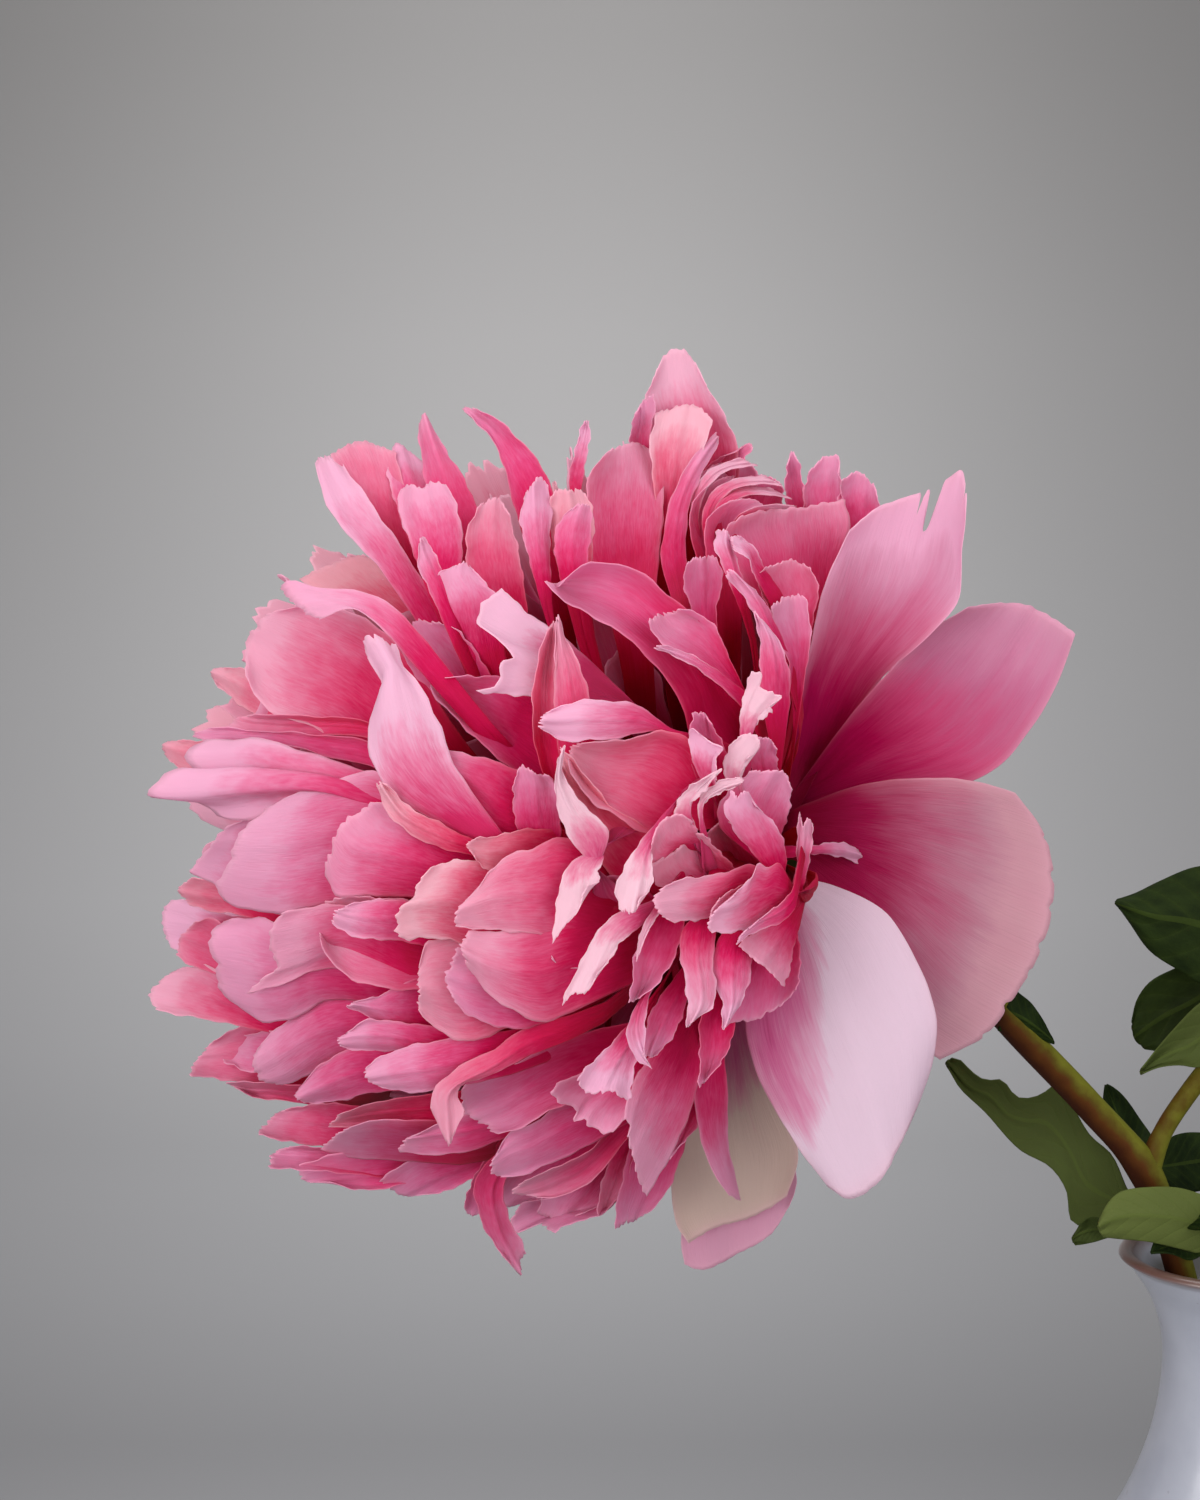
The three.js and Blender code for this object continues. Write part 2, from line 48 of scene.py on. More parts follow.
# ---- Driving dimensions, in millimetres ----
FOOT_RADIUS = 27.0
BODY_RADIUS = 37.0
BODY_LEVEL = 55.0
NECK_RADIUS = 14.0
NECK_LEVEL = 140.0
MOUTH_RADIUS = 23.0
VASE_HEIGHT = 160.0
VASE_WALL = 3.0
FLOOR_THICKNESS = 6.0
LIP_DROP = 1.2                    # how far below the top the lip starts to round over
STEM_RADIUS = 3.0
STEM_TOP = 6.75                   # the stem ends this far below the bloom's base, inside the calyx
SIDE_STALK_RADIUS = 1.9
BALL_RADIUS = 80.0
CORE_LENGTH = 64.0
CORE_RADIUS = 11.0
PETAL_THICKNESS = 0.24
LEAF_THICKNESS = 0.5
PETAL_CLAW = 5.0                  # width of a petal where it grows
LEAF_CLAW = 2.0
SEPAL_WIDTH = 9.0
SEPAL_COUNT = 5

# ---- How blades are cut into a mesh and waved ----
CLAW_ROWS = 9
PATTERN_SPREAD = 60               # how far apart in the noise two blades' patterns lie
HIDDEN_SHARE = 0.35               # how much of a seen petal's colour run its hidden claw takes
SEEN_FRILL = 0.5                  # mm, how far a seen petal's edges wave
FRONT_PIECES = 4                  # the seen petals are shared out over so many pieces
GOLDEN_ANGLE = math.pi * (3 - math.sqrt(5))

# ---- The photograph's frame, in its pixels ----
FRAME_WIDTH = 1200
FRAME_HEIGHT = 1500
LENS = 60.0                       # mm
SENSOR = 36.0                     # mm, along the frame's longer side
FOCAL = FRAME_HEIGHT * LENS / SENSOR
PIXELS_PER_MM = 5                 # at the bloom
TILT = math.radians(5.5)          # the camera looks down this much
COS_TILT = math.cos(TILT)
SIN_TILT = math.sin(TILT)

# ---- Places, in millimetres ----
BASE = np.array([-88.0, 0.5, 240.0])      # where the bloom sits on its stem
BALL = np.array([-138.5, 21.0, 243.5])    # middle of the ball of petals
EYE = np.array([-127.2, -488.1, 307.9])   # the camera, which the front petals' places are seen from


def unit(vector):
    return vector / np.linalg.norm(vector)


def units(vectors, least=1e-6):
    """Every vector of an array brought to length 1, unless it is shorter than least."""
    return vectors / np.maximum(np.linalg.norm(vectors, axis=-1, keepdims=True), least)


AXIS = unit(BALL - BASE)
UPWARD = unit(np.array([0.0, 0.0, 1.0]) - AXIS * AXIS[2])
FORWARD = np.cross(UPWARD, AXIS)


def seeded(index):
    """A repeatable stand-in for chance, from 0 to 1."""
    value = math.sin(index * 12.9898 + 4.1) * 43758.5453
    return value - math.floor(value)


def smooth_route(points, steps):
    """A centripetal Catmull-Rom curve through the points, as the source's stem follows."""
    points = [np.array(point, float) for point in points]
    points = [2 * points[0] - points[1]] + points + [2 * points[-1] - points[-2]]
    route = []
    for p0, p1, p2, p3 in zip(points, points[1:], points[2:], points[3:]):
        t1 = np.linalg.norm(p1 - p0) ** 0.5
        t2 = t1 + np.linalg.norm(p2 - p1) ** 0.5
        t3 = t2 + np.linalg.norm(p3 - p2) ** 0.5
        for t in np.linspace(t1, t2, steps, endpoint=False):
            a1 = (p0 * (t1 - t) + p1 * t) / t1
            a2 = (p1 * (t2 - t) + p2 * (t - t1)) / (t2 - t1)
            a3 = (p2 * (t3 - t) + p3 * (t - t2)) / (t3 - t2)
            b1 = (a1 * (t2 - t) + a2 * t) / t2
            b2 = (a2 * (t3 - t) + a3 * (t - t1)) / (t3 - t1)
            route.append((b1 * (t2 - t) + b2 * (t - t1)) / (t2 - t1))
    return np.array(route + [points[-2]])


def linked(name, data):
    """A new object in the scene that holds this data."""
    made = bpy.data.objects.new(name, data)
    bpy.context.scene.collection.objects.link(made)
    return made


def smooth_solid(name, vertices, faces, material):
    """A smooth-shaded object from points in metres."""
    mesh = bpy.data.meshes.new(name)
    mesh.from_pydata(vertices, [], faces)
    mesh.shade_smooth()
    mesh.materials.append(material)
    return linked(name, mesh)


def settle(piece, slot, *nodes):
    """Every piece rides on the part's one body and stands for a node, whose parts it hides; slot is not
    used.
    """
    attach(piece, "root")
    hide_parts(*nodes)


# ---- Thin blades: the mesh that petals, sepals and leaves share ----
class Blades:
    """Collects closed thin blades and turns them into one mesh with what its material reads."""

    def __init__(self):
        self.vertices, self.faces, self.place, self.grain, self.tint = [], [], [], [], []
        self.cells = []
        self.count = 0

    def add(self, middle, across, along, width, length, thickness, dice, pale=0.0, warm=0.0, lean=0.0):
        """Adds a blade round middle, a (rows, columns, 3) grid of points in millimetres.

        pale, warm and lean tint it: pale above 1 and up to 2 is near white, warm above 2 is the beige guard
        petal, and lean slants the colour run across the blade.
        """
        rows, columns = middle.shape[:2]
        normal = units(np.cross(np.gradient(middle, axis=1), np.gradient(middle, axis=0)), 1e-9)
        taper = 0.45 + 0.55 * (1 - np.abs(across) ** 6)[..., None]
        offset = normal * thickness / 2 * taper
        start, size = self.count, rows * columns
        index = np.arange(size).reshape(rows, columns)
        a, b = index[:-1, :-1].ravel(), index[:-1, 1:].ravel()
        c, d = index[1:, 1:].ravel(), index[1:, :-1].ravel()
        rim = np.concatenate([index[0, :-1], index[:-1, -1], index[-1, :0:-1], index[:0:-1, 0]])
        after = np.roll(rim, -1)
        self.vertices += [(middle + offset).reshape(-1, 3), (middle - offset).reshape(-1, 3)]
        self.faces += [
            np.stack([a, b, c, d], 1) + start,
            np.stack([a, d, c, b], 1) + start + size,
            np.stack([after, rim, rim + size, after + size], 1) + start,
        ]
        self.cells.append((start, size, across, along, len(rim)))
        sheet = np.stack([across, along, np.full_like(across, dice)], 2).reshape(-1, 3)
        patch = np.full_like(across, dice * PATTERN_SPREAD)
        grain = np.stack([across * width / 2, along * length, patch], 2).reshape(-1, 3)
        self.place += [sheet, sheet]
        self.grain += [grain, grain]
        self.tint.append(np.tile((pale, warm, lean), (2 * size, 1)))
        self.count += 2 * size

    def atlas(self):
        """One texture cell for each side of each blade; a rim's faces have no area there."""
        grid = math.ceil(math.sqrt(2 * len(self.cells)))
        corners = np.zeros((self.count, 2))
        for number, (start, size, across, along, _) in enumerate(self.cells):
            flat = np.stack([across / 2 + 0.5, along], 2).reshape(-1, 2) * 0.94 + 0.03
            for side in (0, 1):
                cell = 2 * number + side
                corner = np.array([cell % grid, cell // grid])
                corners[start + side * size:start + (side + 1) * size] = (corner + flat) / grid
        return corners

    def build(self, name, material):
        vertices = np.concatenate(self.vertices) * MM
        faces = np.concatenate(self.faces)
        mesh = bpy.data.meshes.new(name)
        mesh.from_pydata(vertices.tolist(), [], faces.tolist())
        corner_places = self.atlas()[faces]
        first, smooth = 0, []
        for _, _, across, _, rim in self.cells:
            rows, columns = across.shape
            sides = 2 * (rows - 1) * (columns - 1)
            first += sides
            corner_places[first:first + rim] = corner_places[first:first + rim, :1]
            first += rim
            smooth += [np.full(sides, True), np.full(rim, False)]
        layer = mesh.uv_layers.new(name="OFBake")
        layer.data.foreach_set("uv", corner_places.astype(np.float32).ravel())
        for label, values in (("place", self.place), ("grain", self.grain), ("tint", self.tint)):
            attribute = mesh.attributes.new(label, "FLOAT_VECTOR", "POINT")
            attribute.data.foreach_set("vector", np.concatenate(values).astype(np.float32).ravel())
        mesh.polygons.foreach_set("use_smooth", np.concatenate(smooth))
        mesh.materials.append(material)
        return linked(name, mesh)


# ---- Petals by rule ----
def petal_sheet(root, tip, outer, width, bow=6.0, curl=3.0, cup=45.0, twist=0.0, blunt=0.7, claw=0.3,
                widest=0.62, notch=0.0, ragged=0.0, frill=0.5, dice=0.0, columns=18, rows=30):
    """The middle surface of a petal: narrow at the claw, cupped across, bowed along, curled at the tip.

    ragged cuts teeth into the tip and notch splits it; frill waves the edges. Returns the grid, its across
    and along coordinates and its length.
    """
    length = np.linalg.norm(tip - root)
    along_way = (tip - root) / length
    normal = unit(outer - along_way * np.dot(outer, along_way))
    side = np.cross(along_way, normal)
    across, step = np.meshgrid(np.linspace(-1, 1, columns + 1), np.linspace(0, 1, rows + 1))
    t = 1 - (1 - step) ** 1.25
    phase = FULL_TURN * dice
    teeth = (0.5 + 0.3 * np.sin(9 * across + 3 * phase) + 0.25 * np.sin(21 * across + 5 * phase)
             + 0.15 * np.sin(43 * across + phase))
    crimp = 0.02 * np.sin(31 * across + phase) + 0.035 * np.sin(12 * across + 2 * phase)
    round_off = (0.5 + 2 * (1 - blunt) ** 2) * np.abs(across) ** (1.1 + 1.5 * blunt)
    cut = round_off + ragged * teeth + crimp + notch * np.exp(-(across / 0.2) ** 2)
    reach = t * (1 - t * t * cut * width / length)
    swell = np.sin(math.pi / 2 * np.minimum(1, t / widest)) ** 1.15
    taper = np.maximum(0, (t - widest) / (1 - widest)) ** 2
    half = width / 2 * (claw + (1 - claw) * swell) * (1 - (0.25 - 0.2 * blunt) * taper)
    half = half * (1 + 0.03 * np.sin(17 * t + phase + 2 * (across > 0)) * t)
    bend = math.radians(cup) * (0.625 - 0.25 * t)
    turn = across * bend
    x = half * np.sin(turn) / bend
    z = half * (1 - np.cos(turn)) / bend
    edge = np.abs(across)
    z = z + frill * edge ** 2 * t ** 1.3 * np.sin(2 * FULL_TURN * t + phase + 2 * (across > 0))
    z = z + 0.5 * frill * t ** 4 * np.sin(3.1 * across + 2 * phase)
    z = z + 0.25 * frill * np.sin(5 * across + phase) * np.sin(7 * t + phase) * t
    spin = np.radians(twist) * reach
    x, z = x * np.cos(spin) + z * np.sin(spin), z * np.cos(spin) - x * np.sin(spin)
    lift = bow * np.sin(math.pi * reach) + curl * (reach ** 4 - reach)
    sheet = (root + along_way * (length * reach)[..., None] + normal * (lift - z)[..., None]
             + side * x[..., None])
    return sheet, across, t, length


def bearing(point):
    """How a point lies to the bloom: cosine and sine of its angle from the axis, and the way out."""
    offset = point - BASE
    height = np.dot(offset, AXIS)
    outward = unit(offset - AXIS * height)
    cosine = height / np.linalg.norm(offset)
    return cosine, math.sqrt(1 - cosine * cosine), outward


def ball_root(tip):
    """Where on the core the petal that ends at tip grows."""
    cosine, _, outward = bearing(tip)
    return BASE + AXIS * (5 + 0.88 * CORE_LENGTH * max(0.0, cosine)) + outward * CORE_RADIUS * 0.45


def guard_root(tip, forward):
    """Where the guard petal that ends at tip grows, so many mm towards FORWARD from the axis."""
    return BASE + AXIS * 4 + bearing(tip)[2] * 3 + FORWARD * forward


def ball_petal(blades, tip, width, face=0.0, pale=0.3, warm=0.3, dice=0.0, **shape):
    """A petal of the ball; face turns its blade towards the camera."""
    cosine, sine, outward = bearing(tip)
    outer = outward * cosine - AXIS * sine
    view = unit(EYE - tip)
    outer = outer * (1 - face) + view * face * (1 if np.dot(outer, view) > 0 else -1)
    sheet, across, along, length = petal_sheet(ball_root(tip), tip, outer, width, dice=dice, **shape)
    blades.add(sheet, across, along, width, length, PETAL_THICKNESS, dice, pale, warm)


# ---- Petals that the picture shows ----
def sight(x, y):
    """The way from the camera through a pixel of the photograph, or through each of many."""
    side, rise = (x - FRAME_WIDTH / 2) / FOCAL, (FRAME_HEIGHT / 2 - y) / FOCAL
    return np.stack([side, COS_TILT + rise * SIN_TILT, rise * COS_TILT - SIN_TILT], -1)


def placed(line, depth):
    """The point of a sight line, or of each of many, that lies so many mm in front of the ball's middle."""
    return EYE + line * ((BALL[1] - depth - EYE[1]) / line[..., 1])[..., None]


def nearness(x, y, rise):
    """How far in front of the ball's middle its skin, raised by so many mm, lies at a pixel."""
    line = unit(sight(x, y))
    nearest = np.dot(BALL - EYE, line)
    gap = np.dot(BALL - EYE, BALL - EYE) - nearest ** 2
    half = math.sqrt(max(0.0, (BALL_RADIUS + rise) ** 2 - gap))
    return BALL[1] - (EYE + line * (nearest - half))[1]


def spaced(points, count):
    """A smooth curve through picture points, as evenly spaced places along it."""
    route = smooth_route([(x, y, 0) for x, y in points], 12)[:, :2]
    travelled = np.concatenate([[0], np.cumsum(np.linalg.norm(np.diff(route, axis=0), axis=1))])
    wanted = np.linspace(0, travelled[-1], count)
    return np.stack([np.interp(wanted, travelled, route[:, axis]) for axis in (0, 1)], 1)


def seen(name, rise, left, crown, right, cup=3.0, pale=0.3, warm=0.0, back=0.0, deep=None, lean=0.0,
         notches=(), root=None):
    """A row of the tables below.

    cup hollows the blade and back leans its crown away, both in mm; pale, warm and lean are its tint. A
    notch is its middle and half width across the crown, which runs from -1 to 1, and its depth in mm.
    """
    return {"name": name, "rise": rise, "left": left, "crown": crown, "right": right, "cup": cup,
            "pale": pale, "warm": warm, "back": back, "deep": deep, "lean": lean, "notches": notches,
            "root": root}


WHITE_EDGE = {"pale": 1.45, "warm": 0.4}
SWIRL = {"pale": 0.12, "warm": 0.2}
RUFFLE = {"pale": 0.9, "warm": 0.3, "cup": -1}

# The bloom's petals that the picture shows. Each is a named outline in the picture's pixels: up its left
# edge, over its crown and up its right edge, both edges starting where the blade comes out from under its
# neighbours. rise is how far its low and high ends stand out of the ball, in mm.
SEEN_PETALS = [
    # Top
    seen("peak", (-18, -6), [(668, 520), (652, 450), (645, 405)],
        [(652, 380), (668, 352), (688, 353), (706, 385)], [(735, 520), (738, 450), (726, 418)], pale=0.8,
        warm=0.3, back=6),
    seen("peak_sliver", (-8, 0), [(645, 480), (630, 446)], [(634, 415), (646, 398), (654, 394)],
        [(652, 475), (650, 435), (655, 410)], pale=0.6),
    seen("peak_face", (-14, -4), [(655, 560), (655, 500), (650, 440)],
        [(656, 414), (675, 406), (700, 408), (712, 418)], [(682, 560), (688, 495), (706, 445)], pale=0.8,
        warm=0.6),
    seen("long_curve", (-8, 2), [(675, 610), (661, 560), (664, 530), (672, 495), (686, 468), (702, 446)],
        [(716, 433), (719, 441)], [(690, 600), (686, 540), (690, 505), (700, 478), (712, 456)], pale=0.5,
        cup=-2),
    seen("round_top", (-10, -1), [(604, 600), (590, 555), (586, 500), (590, 474)],
        [(603, 456), (618, 446), (634, 443), (648, 448)], [(655, 600), (661, 540), (664, 500), (661, 465)],
        warm=0.3, cup=4),
    seen("spike", (-6, 0), [(572, 500), (569, 478), (574, 455), (579, 435)], [(584, 421), (589, 421)],
        [(580, 500), (586, 460), (590, 436)], pale=0.7, cup=1),
    seen("yellow_tip", (-8, 0), [(565, 590), (553, 550), (550, 520)],
        [(551, 498), (557, 491), (565, 489), (577, 490), (586, 494)], [(590, 590), (593, 545), (594, 515)],
        pale=0.5, warm=0.7, cup=-2),
    seen("inner_curl", (-5, 2), [(566, 600), (556, 560), (554, 540), (560, 520)],
        [(571, 509), (583, 503), (591, 508)], [(590, 600), (588, 560), (592, 530)], pale=0.35, cup=-3),
    seen("pale_finger", (-6, 1), [(540, 600), (526, 548), (520, 520)],
        [(524, 498), (531, 485), (540, 478), (547, 484)], [(552, 600), (550, 540), (552, 512)], pale=0.6,
        cup=-2),
    seen("dusky_finger", (-10, -2), [(488, 630), (467, 565), (468, 528)],
        [(478, 508), (488, 499), (498, 499), (508, 512)], [(530, 630), (522, 570), (516, 540)], warm=0.5),
    seen("long_spike", (-14, -4), [(530, 560), (512, 498), (502, 460), (488, 434)],
        [(470, 416), (463, 409), (477, 408)], [(565, 540), (545, 472), (520, 440), (498, 420)], pale=0.2,
        cup=2),
    seen("red_spike", (-14, -6), [(440, 560), (427, 495), (421, 455)], [(418, 428), (424, 414), (432, 426)],
        [(490, 540), (464, 478), (447, 452)], pale=0.1, warm=0.2, cup=-2),
    # Upper left
    seen("corner_stripe", (-10, -2), [(440, 660), (395, 590), (365, 552), (335, 520), (321, 487)],
        [(314, 463), (324, 456), (337, 457)], [(452, 630), (405, 552), (380, 516), (355, 480)], pale=0.8,
        cup=-2),
    seen("corner_dusk", (-15, -7), [(405, 600), (372, 540), (345, 480)],
        [(330, 455), (348, 444), (372, 443), (396, 452)], [(430, 600), (410, 530), (402, 480)], pale=0.15,
        warm=0.5, cup=4),
    seen("corner_pale", (-9, -4), [(412, 550), (396, 505), (388, 478)],
        [(388, 462), (396, 444), (408, 450), (422, 462)], [(445, 550), (440, 505), (433, 480)], pale=0.55),
    seen("two_lobes", (-7, -1), [(430, 600), (407, 535), (398, 510)],
        [(400, 491), (412, 484), (423, 488), (432, 482), (447, 484)], [(455, 600), (463, 545), (458, 510)],
        pale=0.55, cup=-2),
    seen("lilac_point", (-3, 3), [(455, 650), (430, 592), (418, 565)], [(419, 545), (422, 536)],
        [(462, 610), (440, 565), (432, 548)], pale=0.55, cup=-2),
    seen("lilac_lobe", (-6, 0), [(460, 660), (441, 605), (437, 575)], [(449, 569), (463, 563), (474, 569)],
        [(505, 650), (498, 597), (486, 584)], pale=0.6, cup=-3),
    seen("torn_white", (-4, 4), [(590, 700), (545, 698), (510, 695)],
        [(477, 692), (498, 684), (500, 663), (512, 656), (497, 638), (476, 620), (484, 600), (502, 587)],
        [(595, 665), (560, 634), (535, 618), (514, 600)], pale=1.3, cup=-3),
    seen("rolled_edge", (0, 5), [(445, 700), (405, 655), (375, 622), (350, 608)],
        [(320, 620), (294, 605), (281, 586)],
        [(465, 690), (425, 640), (395, 608), (362, 591), (320, 588), (290, 580)], pale=0.65, cup=-3),
    seen("dusky_cup", (-12, -3), [(410, 790), (330, 735), (262, 705)],
        [(245, 672), (248, 640), (262, 617), (290, 608)], [(450, 720), (400, 645), (350, 612), (315, 603)],
        pale=0.6, warm=0.3, cup=8),
    seen("cup_side", (-9, -3), [(485, 730), (430, 690), (405, 660)], [(400, 635), (415, 622), (440, 622)],
        [(505, 700), (475, 650), (460, 632)], pale=0.1),
    seen("far_salmon", (-16, -9), [(430, 650), (370, 615), (320, 592)],
        [(300, 580), (325, 566), (360, 556), (388, 562)], [(450, 640), (420, 600), (403, 578)], pale=0.5,
        warm=0.9, back=8),
    seen("far_tip", (-16, -8), [(300, 730), (250, 712)], [(216, 684), (211, 671), (226, 667)],
        [(310, 700), (258, 672)], pale=0.45, warm=0.7, back=8),
    seen("row_one", (-8, -4), [(450, 780), (370, 738), (300, 736), (240, 733)],
        [(226, 727), (238, 718), (255, 714)], [(450, 760), (370, 722), (310, 716)], pale=0.1, warm=0.4,
        cup=2),
    seen("row_two", (-8, -2), [(440, 810), (380, 770), (330, 757), (270, 742)],
        [(205, 741), (193, 735), (212, 727)], [(440, 780), (370, 742), (310, 734), (250, 730)], cup=2),
    seen("west_point", (-4, 0), [(430, 840), (340, 800), (280, 812), (240, 821)],
        [(217, 817), (200, 803), (147, 794), (162, 776), (182, 768), (203, 778), (185, 755), (207, 740)],
        [(440, 800), (360, 769), (310, 753), (262, 739)], pale=0.75, cup=-5),
    seen("west_dusk", (-14, -6), [(270, 800), (200, 782)], [(170, 762), (162, 745), (182, 740)],
        [(280, 760), (215, 742)], warm=0.8, back=4),
    seen("rose_fin", (-8, 0), [(550, 800), (500, 760), (465, 728), (440, 702)],
        [(431, 690), (433, 682), (446, 677)], [(555, 700), (505, 678), (475, 676)], pale=0.2),
    seen("white_horn", (0, 5),
        [(470, 840), (400, 800), (375, 770), (368, 735), (373, 708), (385, 690), (377, 675)],
        [(366, 658), (366, 638), (376, 634), (392, 647), (395, 644)],
        [(500, 830), (455, 765), (440, 725), (426, 695), (406, 667)], pale=1.2, cup=-5),
    seen("streaked", (-5, 1), [(540, 850), (490, 838), (465, 810), (445, 785), (428, 768)],
        [(421, 757), (424, 750)], [(560, 800), (520, 771), (485, 758), (450, 751)], pale=0.35, warm=0.2,
        cup=-3),
    seen("small_bib", (-4, 2), [(530, 850), (516, 825), (513, 795)],
        [(516, 772), (523, 766), (531, 770), (538, 775), (548, 775)], [(562, 850), (560, 810), (556, 784)],
        cup=-2),
    # Left
    seen("ten", (-5, 0), [(410, 900), (330, 905), (280, 914), (250, 910)],
        [(226, 902), (217, 887), (228, 862), (236, 840), (262, 812), (285, 797)],
        [(450, 830), (385, 772), (340, 778), (310, 788)], pale=0.6, cup=-6),
    seen("ten_under", (-9, -4), [(300, 900), (230, 890), (205, 880)],
        [(190, 872), (207, 850), (222, 830), (245, 820)], [(340, 850), (290, 815), (268, 812)], pale=0.7,
        cup=-3),
    seen("dusky_lip", (-10, -6), [(300, 935), (240, 915), (210, 911)], [(190, 905), (179, 890), (190, 878)],
        [(300, 890), (240, 885), (212, 880)], warm=0.7),
    seen("far_white", (-16, -9), [(280, 960), (200, 950)], [(172, 948), (162, 925), (168, 903), (182, 898)],
        [(280, 920), (215, 912), (195, 903)], pale=1.0, back=6),
    seen("far_rose", (-12, -6), [(280, 990), (220, 975), (190, 965)], [(176, 955), (182, 935), (195, 922)],
        [(280, 950), (225, 925), (210, 918)], pale=0.1, warm=0.5),
    seen("nine", (-6, -1), [(410, 1010), (330, 1000), (290, 1020), (262, 1021)],
        [(240, 1008), (222, 992), (216, 965), (208, 948), (213, 930), (232, 919)],
        [(410, 940), (330, 935), (280, 925), (260, 917)], pale=0.45, cup=-5),
    seen("grey_tail", (-3, 2), [(410, 990), (330, 968), (280, 985), (255, 992)],
        [(247, 993), (262, 978), (278, 966), (270, 945), (270, 928), (282, 913)],
        [(410, 935), (345, 905), (310, 907)], pale=0.45, warm=0.2, cup=-3),
    seen("five", (-4, 2), [(470, 905), (400, 897), (360, 896), (335, 895)],
        [(326, 875), (327, 858), (333, 838), (345, 822), (362, 811), (368, 803), (382, 802)],
        [(490, 860), (440, 835), (400, 815)], pale=0.4, warm=0.1, cup=-5),
    seen("strap", (0, 6), [(495, 866), (470, 855), (440, 848), (412, 835), (392, 818), (382, 802)],
        [(377, 786), (384, 783)], [(495, 848), (465, 836), (435, 820), (410, 808), (395, 792)], pale=0.6,
        warm=0.7, cup=-2),
    seen("seven", (0, 4), [(440, 950), (400, 941), (360, 938), (340, 930)],
        [(331, 922), (336, 912), (348, 905)], [(440, 910), (400, 900), (370, 900)], pale=0.6, cup=-3),
    seen("six", (-4, 1), [(470, 985), (405, 990), (375, 986), (350, 978), (332, 963)],
        [(321, 942), (320, 920), (326, 903), (345, 896)], [(470, 925), (420, 902), (380, 898)], pale=0.25,
        warm=0.3, cup=5),
    seen("three", (-3, 3), [(550, 1015), (505, 1029), (475, 1041), (455, 1039), (435, 1028)],
        [(420, 1012), (418, 990), (419, 965)], [(540, 940), (480, 930), (450, 935), (427, 943)], pale=0.4,
        warm=0.5, cup=-4),
    seen("three_over", (-1, 4), [(570, 1015), (520, 1029), (492, 1025), (470, 1016)],
        [(455, 1003), (447, 985), (448, 967), (458, 948)], [(560, 950), (510, 940), (475, 945)], pale=0.35,
        cup=-3),
    seen("beige_lobe", (-1, 4), [(530, 960), (470, 945), (432, 938)],
        [(410, 940), (394, 931), (395, 917), (402, 906), (414, 898), (418, 883), (428, 870)],
        [(530, 870), (475, 860), (445, 862)], pale=0.8, warm=0.65, cup=-4),
    seen("salmon_step", (-3, 4), [(530, 885), (480, 865)], [(475, 857), (467, 844), (474, 839)],
        [(565, 830), (525, 829), (500, 835)], pale=0.35, warm=0.8, cup=-2),
    seen("slit_upper", (2, 7), [(610, 955), (540, 935), (490, 930)],
        [(468, 927), (457, 925), (455, 913), (463, 903), (476, 893)],
        [(600, 845), (560, 837), (535, 847), (505, 857), (485, 878)], pale=0.5, warm=0.4, cup=-4),
    seen("slit_lower", (1, 6), [(630, 985), (580, 1008), (545, 1022), (515, 1012), (485, 990)],
        [(468, 967), (462, 950), (466, 932)], [(620, 905), (560, 915), (520, 928), (485, 931)], pale=0.5,
        warm=0.3, cup=-5),
    # Lower left
    seen("far_beige", (-12, -6), [(300, 1040), (220, 1022), (180, 1015)],
        [(155, 1010), (150, 997), (160, 980), (182, 968)], [(300, 1000), (240, 985), (205, 965)], pale=0.6,
        warm=0.35),
    seen("far_dusk", (-13, -8), [(310, 1090), (240, 1082), (210, 1078)],
        [(190, 1075), (200, 1055), (215, 1040)], [(320, 1050), (280, 1030), (245, 1025)], pale=0.2,
        warm=0.4),
    seen("far_lilac", (-9, -5), [(320, 1075), (250, 1072)], [(224, 1062), (222, 1045), (235, 1037)],
        [(330, 1040), (280, 1030)], pale=0.4),
    seen("twelve", (-6, -1), [(430, 1050), (345, 1055), (320, 1068), (300, 1080)],
        [(280, 1085), (262, 1080), (252, 1062), (262, 1042)],
        [(430, 1000), (350, 992), (315, 1001), (290, 1018)], pale=0.45, cup=-4),
    seen("twelve_under", (-12, -6), [(340, 1110), (280, 1100), (255, 1098)], [(240, 1090), (226, 1082)],
        [(350, 1080), (300, 1085), (262, 1082)], pale=0.1, warm=0.4),
    seen("thirteen", (-4, 1), [(440, 1060), (385, 1030), (360, 1012)], [(347, 1007), (356, 1001)],
        [(440, 970), (400, 985), (378, 996)], pale=0.35, cup=-3),
    seen("fourteen", (-2, 2), [(460, 1075), (400, 1052), (365, 1051)],
        [(345, 1048), (337, 1042), (350, 1030)], [(460, 1030), (400, 1022), (366, 1020)], pale=0.4, cup=-3),
    seen("sixteen", (-6, -1), [(430, 1090), (370, 1093), (340, 1101)],
        [(312, 1103), (295, 1098), (303, 1083)], [(430, 1050), (350, 1049), (318, 1067)], cup=-3),
    seen("fifteen", (-1, 4), [(510, 1075), (435, 1091), (405, 1092)],
        [(380, 1087), (364, 1076), (368, 1065)], [(510, 1030), (440, 1040), (395, 1050)], pale=0.5, cup=-4),
    seen("red_strip", (-7, -3), [(470, 1120), (380, 1125), (345, 1127)], [(328, 1127), (340, 1114)],
        [(470, 1090), (400, 1098), (365, 1105)], pale=0.1, warm=0.6, cup=2),
    seen("far_foot", (-12, -7), [(370, 1150), (310, 1145), (280, 1140)],
        [(258, 1135), (270, 1118), (290, 1108)], [(380, 1110), (330, 1103)], pale=0.2, warm=0.3),
    seen("lilac_foot", (-7, -2), [(460, 1165), (390, 1160), (345, 1157)],
        [(322, 1150), (332, 1138), (350, 1127)], [(460, 1120), (410, 1120), (375, 1120)], pale=0.4, cup=-3),
    seen("skyline_one", (-13, -8), [(410, 1180), (330, 1172)], [(268, 1168), (275, 1152), (295, 1146)],
